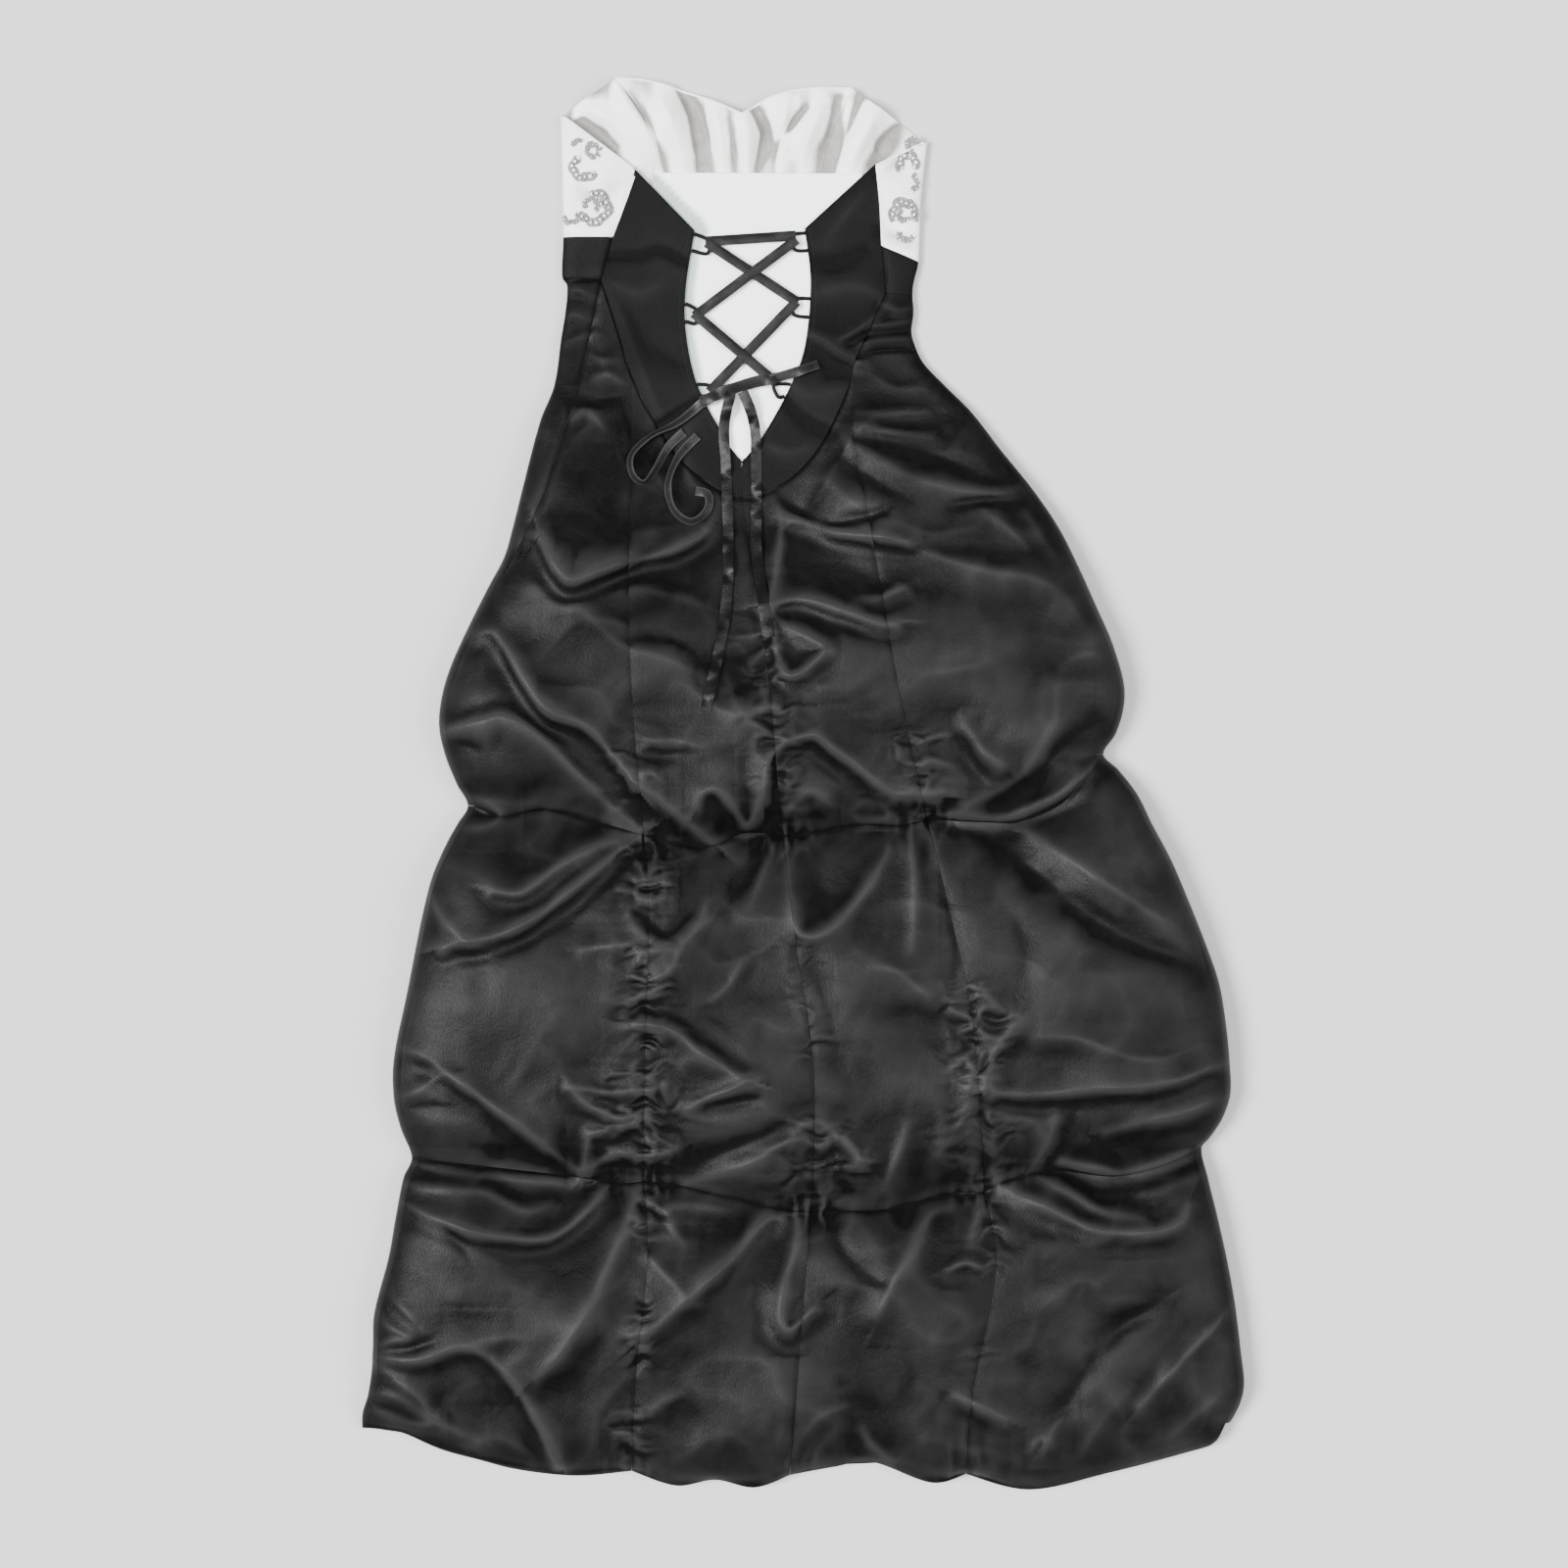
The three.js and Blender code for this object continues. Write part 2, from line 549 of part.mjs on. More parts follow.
function addTier(name, topSeam, footSeam) {
  const sides = tierSides(name);
  const rows = sides.cells;
  const left = sides.seamLeft;
  const right = sides.seamRight;
  const seamA = stretch(GORES[name].a, rows);
  const seamB = stretch(GORES[name].b, rows);
  const seamC = stretch(GORES[name].c, rows);
  const besideMidriff = [...SIDE_SEAM.midriffLeft].reverse().slice(0, -1);
  const topLeft = name === "upper"
    ? [...besideMidriff, ...stretch(topSeam.sideLeft, CELLS.sideTop)]
    : trimmed(topSeam.sideLeft, CELLS.side, left[0], "start");
  const gores = {
    side_left: {
      top: topLeft,
      foot: trimmed(footSeam.sideLeft, CELLS.side, left[rows], "start"),
      left,
      right: seamA,
    },
    left: {
      top: stretch(topSeam.left, CELLS.middle),
      foot: stretch(footSeam.left, CELLS.middle),
      left: seamA,
      right: seamB,
    },
    right: {
      top: stretch(topSeam.right, CELLS.middle),
      foot: stretch(footSeam.right, CELLS.middle),
      left: seamB,
      right: seamC,
    },
    side_right: {
      top: trimmed(topSeam.sideRight, CELLS.side, right[0], "end"),
      foot: trimmed(footSeam.sideRight, CELLS.side, right[rows], "end"),
      left: seamC,
      right,
    },
  };
  for (const [key, edges] of Object.entries(gores)) {
    const grid = patch(edges).map((row) => row.map(([x, down]) => backPoint(x, down)));
    add(`skirt_${name}_back_${key}`, wall(grid), SATIN.black);
  }
  const front = sides.foldLeft.map((foldLeft, j) =>
    frontRow({
      seamLeft: sides.seamLeft[j],
      foldLeft,
      foldRight: sides.foldRight[j],
      seamRight: sides.seamRight[j],
      sag: name === "lower" ? FRONT_HEM_SAG * (j / rows) ** 2 : 0,
      under: name === "lower" ? CELLS.hem : CELLS.under,
    }),
  );
  add(`skirt_${name}_front`, wall(front), SATIN.black);
}

// The white front of the bodice, in three pieces, with its sides folded over to the back
const BAND_TOP = { left: [leftEdge(243), 243], right: [rightEdge(268), 268] };
function onBandTop(right) {
  const { left, right: far } = BAND_TOP;
  return [right, mix(left[1], far[1], (right - left[0]) / (far[0] - left[0]))];
}
const PRINCESS = {
  left: stretch([[628, 82], [652, 112], [668, 150], onBandTop(690)], CELLS.white),
  right: stretch([[869, 92], [852, 130], [840, 170], onBandTop(830)], CELLS.white),
};
const NECK = {
  left: [[628, 82], [660, 84], [700, 95], [735, 108], [757, 118]],
  right: [[757, 118], [790, 100], [830, 92], [869, 92]],
};

function addBodiceFront() {
  const foldLeft = foldPoints(leftEdge, 118, 243, CELLS.white);
  const foldRight = foldPoints(rightEdge, 146, 268, CELLS.white);
  const leftRows = foldLeft.map((fold, j) =>
    frontRow({ seamLeft: SIDE_SEAM.whiteLeft[j], foldLeft: fold, seamRight: PRINCESS.left[j] }),
  );
  const rightRows = foldRight.map((fold, j) =>
    frontRow({ seamLeft: PRINCESS.right[j], foldRight: fold, seamRight: SIDE_SEAM.whiteRight[j] }),
  );
  add("bodice_front_left", wall(leftRows), SATIN.white);
  add("bodice_front_right", wall(rightRows), SATIN.white);
  const half = CELLS.centre / 2;
  const grid = patch({
    top: [...stretch(NECK.left, half), ...stretch(NECK.right, half).slice(1)],
    foot: stretch([PRINCESS.left[CELLS.white], PRINCESS.right[CELLS.white]], CELLS.centre),
    left: PRINCESS.left,
    right: PRINCESS.right,
  });
  const centre = grid.map((row) => row.map(([right, down]) => frontPoint(right, down, -1, 1)));
  add("bodice_front_center", wall(centre), SATIN.white);
}

function addBandAndMidriff() {
  const band = foldPoints(leftEdge, 243, 284, CELLS.band).map((foldLeft, j) => {
    const down = mix(268, 302, j / CELLS.band);
    return frontRow({
      seamLeft: SIDE_SEAM.bandLeft[j],
      foldLeft,
      foldRight: [rightEdge(down), down],
      seamRight: SIDE_SEAM.bandRight[j],
    });
  });
  add("underbust_band", wall(band), SATIN.black);
  const midriff = foldPoints(leftEdge, 284, 394, CELLS.midriff).map((foldLeft, j) => {
    const down = mix(302, 357, j / CELLS.midriff);
    return frontRow({
      seamLeft: SIDE_SEAM.midriffLeft[j],
      foldLeft,
      foldRight: [rightEdge(down), down],
      seamRight: SIDE_SEAM.midriffRight[j],
    });
  });
  add("midriff_front", wall(midriff), SATIN.black);
}

// The black back of the bodice and the white modesty panel behind its lacing
const LACING_EDGE = {
  left: [[708, 237], [699, 295], [699, 340], [710, 392], [735, 440], [753, 470], [757, 508]],
  right: [[822, 235], [828, 290], [822, 355], [805, 400], [780, 445], [760, 470], [757, 508]],
};

function addBodiceBack() {
  const rows = CELLS.white + CELLS.band;
  const left = patch({
    top: stretch([[648, 175], [708, 237]], CELLS.sideTop + CELLS.middle),
    foot: [...stretch(BASQUE.sideLeft, CELLS.sideTop), ...stretch(BASQUE.left, CELLS.middle).slice(1)],
    left: [...SIDE_SEAM.whiteLeft, ...SIDE_SEAM.bandLeft.slice(1)],
    right: stretch(LACING_EDGE.left, rows),
  });
  const right = patch({
    top: stretch([[822, 235], [893, 170]], CELLS.middle + CELLS.midriff),
    foot: [...stretch(BASQUE.right, CELLS.middle), ...stretch(BASQUE.bodiceRight, CELLS.midriff).slice(1)],
    left: stretch(LACING_EDGE.right, rows),
    right: [...SIDE_SEAM.whiteRight, ...SIDE_SEAM.bandRight.slice(1)],
  });
  const flat = ([x, down]) => ({ at: [x, down, BODICE_LEVEL], face: [0, 0, 1] });
  add("bodice_back_left", wall(left.map((row) => row.map(flat))), SATIN.black);
  add("bodice_back_right", wall(right.map((row) => row.map(flat))), SATIN.black);
  const panel = patch({
    top: stretch([[666, 177], [880, 178]], 4),
    foot: stretch([[722, 478], [792, 478]], 4),
    left: stretch([[666, 177], [668, 300], [722, 478]], 5),
    right: stretch([[880, 178], [872, 300], [792, 478]], 5),
  });
  const level = ([x, down]) => ({ at: [x, down, MODESTY.top], face: [0, 0, 1] });
  add("modesty_panel", wall(panel.map((row) => row.map(level)), MODESTY.cloth), SATIN.panel);
}

// Rouleau loops on the lacing edges: two legs and the bar that the ribbon runs round
const LOOPS = table(["name", "points"], [
  ["left_1", [[708.6, 240], [723, 247], [722, 260], [706.2, 257]]],
  ["left_2", [[699.4, 311], [711, 318], [710, 331], [699.6, 329]]],
  ["left_3", [[711.6, 393], [725, 395], [727, 406], [716.6, 405]]],
  ["right_1", [[821.8, 239], [808, 242], [811, 256], [824, 257]]],
  ["right_2", [[827, 306], [811, 307], [810, 322], [826, 325]]],
  ["right_3", [[806.6, 393], [790, 394], [794, 406], [800.4, 405]]],
]);

function addLoops() {
  for (const { name, points } of LOOPS) {
    const outwards = Math.sign(points[1][0] - points[0][0]);
    const corners = points.map(([right, down], i) => {
      const clear = i === 0 || i === 3 ? outwards * (LOOP.radius + SEAM_GAP) : 0;
      return new THREE.Vector3(...placed(right + clear, down, LOOP.height));
    });
    const section = new THREE.Shape();
    section.absarc(0, 0, LOOP.radius, 0, Math.PI * 2);
    const geometry = new THREE.ExtrudeGeometry(section, {
      steps: LOOP.steps,
      curveSegments: LOOP.sides,
      extrudePath: new THREE.CatmullRomCurve3(corners, false, "catmullrom", 0.3),
    });
    add(`lacing_loop_${name}`, geometry, SATIN.black);
  }
}

// A flat strip that follows a line of layout points with heights for its lower face
function strip(name, line, width, cloth, material) {
  const grid = line.map(([right, down, z], i) => {
    const before = line[Math.max(i - 1, 0)];
    const after = line[Math.min(i + 1, line.length - 1)];
    const run = Math.hypot(after[0] - before[0], after[1] - before[1]);
    const aside = [(after[1] - before[1]) / run, (before[0] - after[0]) / run];
    return [-1, 1].map((side) => [
      right + (side * aside[0] * width) / 2,
      down + (side * aside[1] * width) / 2,
      z,
    ]);
  });
  const raised = grid.map((row) => row.map(([right, down, z]) => [right, down, z + cloth]));
  return add(name, wallBetween(raised, grid), material);
}

// Lacing ribbons held between the loops, with the height of their lower face at both ends
const LACING = table(["name", "from", "to", "start", "middle", "end"], [
  ["top", [728, 249], [803, 243], 13.4, 13.4, 13.4],
  ["cross_1", [728, 254], [806, 306], 15, 13.4, 13.4],
  ["cross_2", [805, 251], [716, 320], 15, 15, 13.4],
  ["cross_3", [715, 327], [783, 386], 15, 15, 15],
  ["cross_4", [806, 314], [733, 396], 15, 13.4, 13.4],
]);

function addLacing() {
  const steps = 8;
  for (const { name, from, to, start, middle, end } of LACING) {
    const line = Array.from({ length: steps + 1 }, (_, k) => {
      const t = k / steps;
      const height = t < 0.5 ? mix(start, middle, ease(t * 2)) : mix(middle, end, ease(t * 2 - 1));
      return [mix(from[0], to[0], t), mix(from[1], to[1], t), height];
    });
    strip(`lacing_${name}`, line, RIBBON.width - 1, RIBBON.cloth, SATIN.ribbon);
  }
}

// The highest cloth under a spot of the dress
const FALL_FROM = 200;
const SPOTS = [
  [0, 0], [1, 0], [-1, 0], [0, 1], [0, -1], [0.7, 0.7], [-0.7, 0.7], [0.7, -0.7], [-0.7, -0.7],
];
const ray = new THREE.Raycaster();
function highest(right, down, around, meshes) {
  const heights = SPOTS.map(([x, y]) => {
    const from = new THREE.Vector3(...placed(right + x * around, down + y * around, FALL_FROM));
    ray.set(from, new THREE.Vector3(0, 0, -1));
    const hits = ray.intersectObjects(meshes, false);
    return hits.length ? hits[0].point.z : 0;
  });
  return Math.max(...heights);
}

// The bow's knot, loops and ends: they lie on the dress
const BOW = table(["name", "width", "steps", "points"], [
  ["knot", 9, 5, [[731, 405], [750, 397], [772, 392], [788, 398]]],
  ["end_right", 10, 6, [[790, 386], [812, 380], [834, 374]]],
  ["loop_upper", 8, 18, [
    [716, 412], [692, 432], [664, 448], [646, 466], [650, 490], [664, 490], [680, 462], [698, 446],
  ]],
  ["loop_lower", 8, 15, [[712, 446], [690, 470], [682, 500], [700, 533], [722, 524], [716, 506]]],
  ["tail_left", 11, 18, [
    [743, 411], [739, 440], [741, 480], [743, 540], [743, 600], [737, 650], [729, 690], [721, 726],
  ]],
  ["tail_right", 11, 14, [[765, 409], [771, 440], [772, 500], [772, 560], [778, 610], [784, 652]]],
]);

function addBow() {
  garment.updateMatrixWorld(true);
  const cloth = [...garment.children];
  for (const { name, width, steps, points } of BOW) {
    const line = stretch(points, steps);
    const heights = line.map(([right, down]) => highest(right, down, width * RIBBON.feel, cloth));
    const rest = line.map(([right, down], i) => {
      const near = Math.max(...heights.slice(Math.max(i - 1, 0), i + 2));
      return [right, down, near + RIBBON.lift];
    });
    cloth.push(strip(`bow_${name}`, rest, width, RIBBON.cloth, SATIN.ribbon));
  }
}

// Beaded scrolls on the white sides: open rings of stones, each on an arc
const SCROLLS = table(["name", "right", "down", "radius", "from", "turn", "width"], [
  ["left_upper", 599, 171, 12, 200, 250, 8],
  ["left_lower", 603, 214, 15, 80, 235, 9],
  ["right_upper", 926, 172, 9, 330, 240, 7],
  ["right_lower", 921, 219, 11, 60, 250, 7],
]);

function addScrolls() {
  const cells = 10;
  for (const { name, right, down, radius, from, turn, width } of SCROLLS) {
    const line = Array.from({ length: cells + 1 }, (_, k) => {
      const angle = ((from + (turn * k) / cells) * Math.PI) / 180;
      const height = BODICE_LEVEL + APPLIQUE.lift;
      return [right + radius * Math.cos(angle), down - radius * Math.sin(angle), height];
    });
    strip(`applique_${name}`, line, width, APPLIQUE.cloth, SATIN.beads);
  }
}

// The white tape end of the side zip, on the left side seam
function addZipTape() {
  const height = BODICE_LEVEL + APPLIQUE.lift;
  const line = stretch(ZIP_TAPE.points, ZIP_TAPE.steps).map(([right, down]) => [right, down, height]);
  strip("side_zip_tape", line, ZIP_TAPE.width, ZIP_TAPE.cloth, SATIN.white);
}

addBodiceFront();
addBandAndMidriff();
addTier("upper", BASQUE, UPPER_SEAM);
addTier("middle", UPPER_SEAM, LOWER_SEAM);
addTier("lower", LOWER_SEAM, HEM);
addBodiceBack();
addLoops();
addLacing();
addBow();
addScrolls();
addZipTape();

export default garment;
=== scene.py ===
"""The looks of a strapless evening dress laid flat on its front, with its laced back up.

Places on the dress are read on a layout in millimetres: to the right of its left edge and
down from its top edge, seen from above. Everything else is in metres.
"""

import math
from collections import namedtuple

import bpy
import numpy as np
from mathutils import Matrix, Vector


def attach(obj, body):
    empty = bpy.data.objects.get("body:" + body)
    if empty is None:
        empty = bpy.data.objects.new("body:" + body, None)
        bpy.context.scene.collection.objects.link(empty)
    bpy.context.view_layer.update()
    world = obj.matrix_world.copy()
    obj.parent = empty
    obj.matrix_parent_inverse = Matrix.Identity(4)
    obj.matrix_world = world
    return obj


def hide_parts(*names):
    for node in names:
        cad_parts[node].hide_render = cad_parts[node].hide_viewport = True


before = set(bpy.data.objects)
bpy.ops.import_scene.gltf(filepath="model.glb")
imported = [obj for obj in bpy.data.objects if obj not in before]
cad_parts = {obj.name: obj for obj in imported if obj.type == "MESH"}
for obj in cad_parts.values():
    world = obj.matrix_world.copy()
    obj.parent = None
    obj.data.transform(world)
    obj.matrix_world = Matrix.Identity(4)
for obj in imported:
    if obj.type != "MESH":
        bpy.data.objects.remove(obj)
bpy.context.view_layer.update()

# Layout
MM = 0.001
DRESS_MIDDLE = 819
DRESS_TOP = 82
DRESS_LENGTH = 1436

# Cloth sizes, in millimetres
CELL = 2.5
CLOTH = 1.2
SEAM_GAP = 0.12
BODICE_LEVEL = 12
FOLD_SHARE = 0.42
FOLD_MOST = 16
BACK_ROLL = 1.6
FRONT_ROLL = 1.3
SIDE_SEAM_INSET = 8
FOLDS_FULL_ABOVE = 6
FRONT_HEM_SAG = 42
MODESTY_LEVEL = 9.9

# The picture's frame: the camera looks straight down on the layout's middle
PICTURE_WIDTH = 1.6
PICTURE_MIDDLE = (800, 800)
CAMERA_HEIGHT = 5.0
SENSOR = 36.0


def placed(right, down, height=0.0):
    """A layout point and its height as a point of the scene, in metres."""
    x = (np.asarray(right, float) - DRESS_MIDDLE) * MM
    y = (DRESS_TOP + DRESS_LENGTH / 2 - np.asarray(down, float)) * MM
    return np.stack(np.broadcast_arrays(x, y, np.asarray(height, float) * MM), axis=-1)


def linked(name, data):
    """A new object of the scene that holds a mesh, a curve, a lamp or a camera."""
    made = bpy.data.objects.new(name, data)
    bpy.context.collection.objects.link(made)
    return made


# Camera
def make_camera():
    data = bpy.data.cameras.new("camera")
    data.sensor_width = SENSOR
    data.lens = SENSOR * CAMERA_HEIGHT / PICTURE_WIDTH
    data.clip_end = 50
    camera = linked("camera", data)
    x, y, _ = placed(*PICTURE_MIDDLE)
    camera.location = (x, y, CAMERA_HEIGHT)
    bpy.context.scene.camera = camera


make_camera()

# The two outer folds of the dress: down, right
LEFT_FOLD = [
    (118, 572), (180, 574), (243, 575), (284, 574), (292, 579), (320, 577), (345, 573),
    (394, 566), (430, 552), (500, 534), (540, 524), (570, 515), (600, 499), (640, 479),
    (680, 461), (710, 452), (740, 449), (770, 455), (800, 467), (822, 478), (840, 468),
    (860, 457), (890, 444), (930, 433), (1010, 417), (1080, 403), (1120, 403), (1150, 410),
    (1180, 421), (1200, 413), (1240, 405), (1280, 398), (1340, 383), (1380, 382), (1420, 377),
    (1440, 371), (1456, 370),
]
RIGHT_FOLD = [
    (146, 946), (180, 942), (215, 939), (268, 937), (290, 932), (302, 931), (320, 932),
    (340, 930), (357, 935), (372, 943), (394, 964), (420, 990), (460, 1021), (500, 1053),
    (540, 1080), (580, 1100), (620, 1118), (660, 1135), (700, 1146), (725, 1145), (750, 1137),
    (770, 1125), (785, 1140), (810, 1159), (840, 1174), (880, 1195), (920, 1212), (960, 1228),
    (1000, 1242), (1040, 1249), (1080, 1253), (1115, 1254), (1140, 1246), (1160, 1233),
    (1170, 1225), (1200, 1231), (1240, 1241), (1290, 1252), (1330, 1259), (1380, 1265),
    (1410, 1268), (1430, 1264), (1450, 1255),
]

# Seams that run across the back, split where the gores meet: right, down
BASQUE = {
    "side_left": [(614, 287), (628, 330), (645, 385)],
    "left": [(645, 385), (672, 437), (705, 480), (757, 508)],
    "right": [(757, 508), (800, 493), (835, 458), (864, 400), (873, 367)],
    "side_right": [(873, 367), (935, 357)],
    "bodice_right": [(873, 367), (888, 334), (903, 300)],
}
UPPER_SEAM = {
    "side_left": [(478, 822), (513, 833), (560, 827), (610, 838), (658, 852)],
    "left": [(658, 852), (700, 862), (729, 863), (760, 850), (798, 852)],
    "right": [(798, 852), (840, 848), (880, 842), (912, 842), (945, 836)],
    "side_right": [(945, 836), (1010, 839), (1040, 838), (1085, 817), (1110, 793), (1125, 770)],
}
LOWER_SEAM = {
    "side_left": [(421, 1180), (525, 1191), (591, 1199), (630, 1205), (658, 1203)],
    "left": [(658, 1203), (700, 1208), (770, 1227), (828, 1234)],
    "right": [(828, 1234), (860, 1233), (906, 1231), (958, 1217), (1003, 1214)],
    "side_right": [(1003, 1214), (1030, 1200), (1073, 1192), (1137, 1198), (1190, 1185), (1225, 1170)],
}
HEM = {
    "side_left": [(370, 1456), (410, 1460), (450, 1477), (490, 1488), (530, 1498), (590, 1504),
         (645, 1499)],
    "left": [(645, 1499), (690, 1514), (730, 1508), (770, 1516), (806, 1503)],
    "right": [(806, 1503), (850, 1495), (890, 1490), (950, 1511), (985, 1502)],
    "side_right": [(985, 1502), (1050, 1518), (1130, 1501), (1210, 1480), (1238, 1470), (1255, 1450)],
}

# Seams that run down the back between the gores: right, down
GORES = {
    "upper": {
        "a": [(645, 385), (644, 520), (643, 620), (647, 720), (658, 852)],
        "b": [(757, 508), (768, 580), (785, 700), (798, 852)],
        "c": [(873, 367), (870, 440), (884, 520), (898, 600), (915, 700), (945, 836)],
    },
    "middle": {
        "a": [(658, 852), (664, 940), (660, 1060), (658, 1203)],
        "b": [(798, 852), (812, 960), (830, 1090), (828, 1234)],
        "c": [(945, 836), (965, 920), (990, 1040), (1003, 1214)],
    },
    "lower": {
        "a": [(658, 1203), (662, 1280), (650, 1400), (645, 1499)],
        "b": [(828, 1234), (820, 1320), (806, 1503)],
        "c": [(1003, 1214), (1014, 1290), (990, 1420), (985, 1502)],
    },
}

# The side seams where they show on the back: right, down
SIDE_SEAMS = [
    [(626, 243), (614, 287), (601, 350), (590, 394), (575, 450), (558, 505), (538, 548), (518, 585)],
    [(899, 252), (903, 300), (888, 334), (873, 367)],
]

# Height of the back above the floor, down each tier: share, level
PUFF = {
    "upper": [(0, 12), (0.12, 17), (0.3, 34), (0.55, 54), (0.78, 60), (0.92, 50), (1, 26)],
    "middle": [(0, 26), (0.08, 42), (0.25, 58), (0.5, 64), (0.75, 62), (0.9, 52), (1, 28)],
    "lower": [(0, 28), (0.1, 42), (0.3, 54), (0.6, 52), (0.85, 42), (0.95, 28), (1, 14)],
}

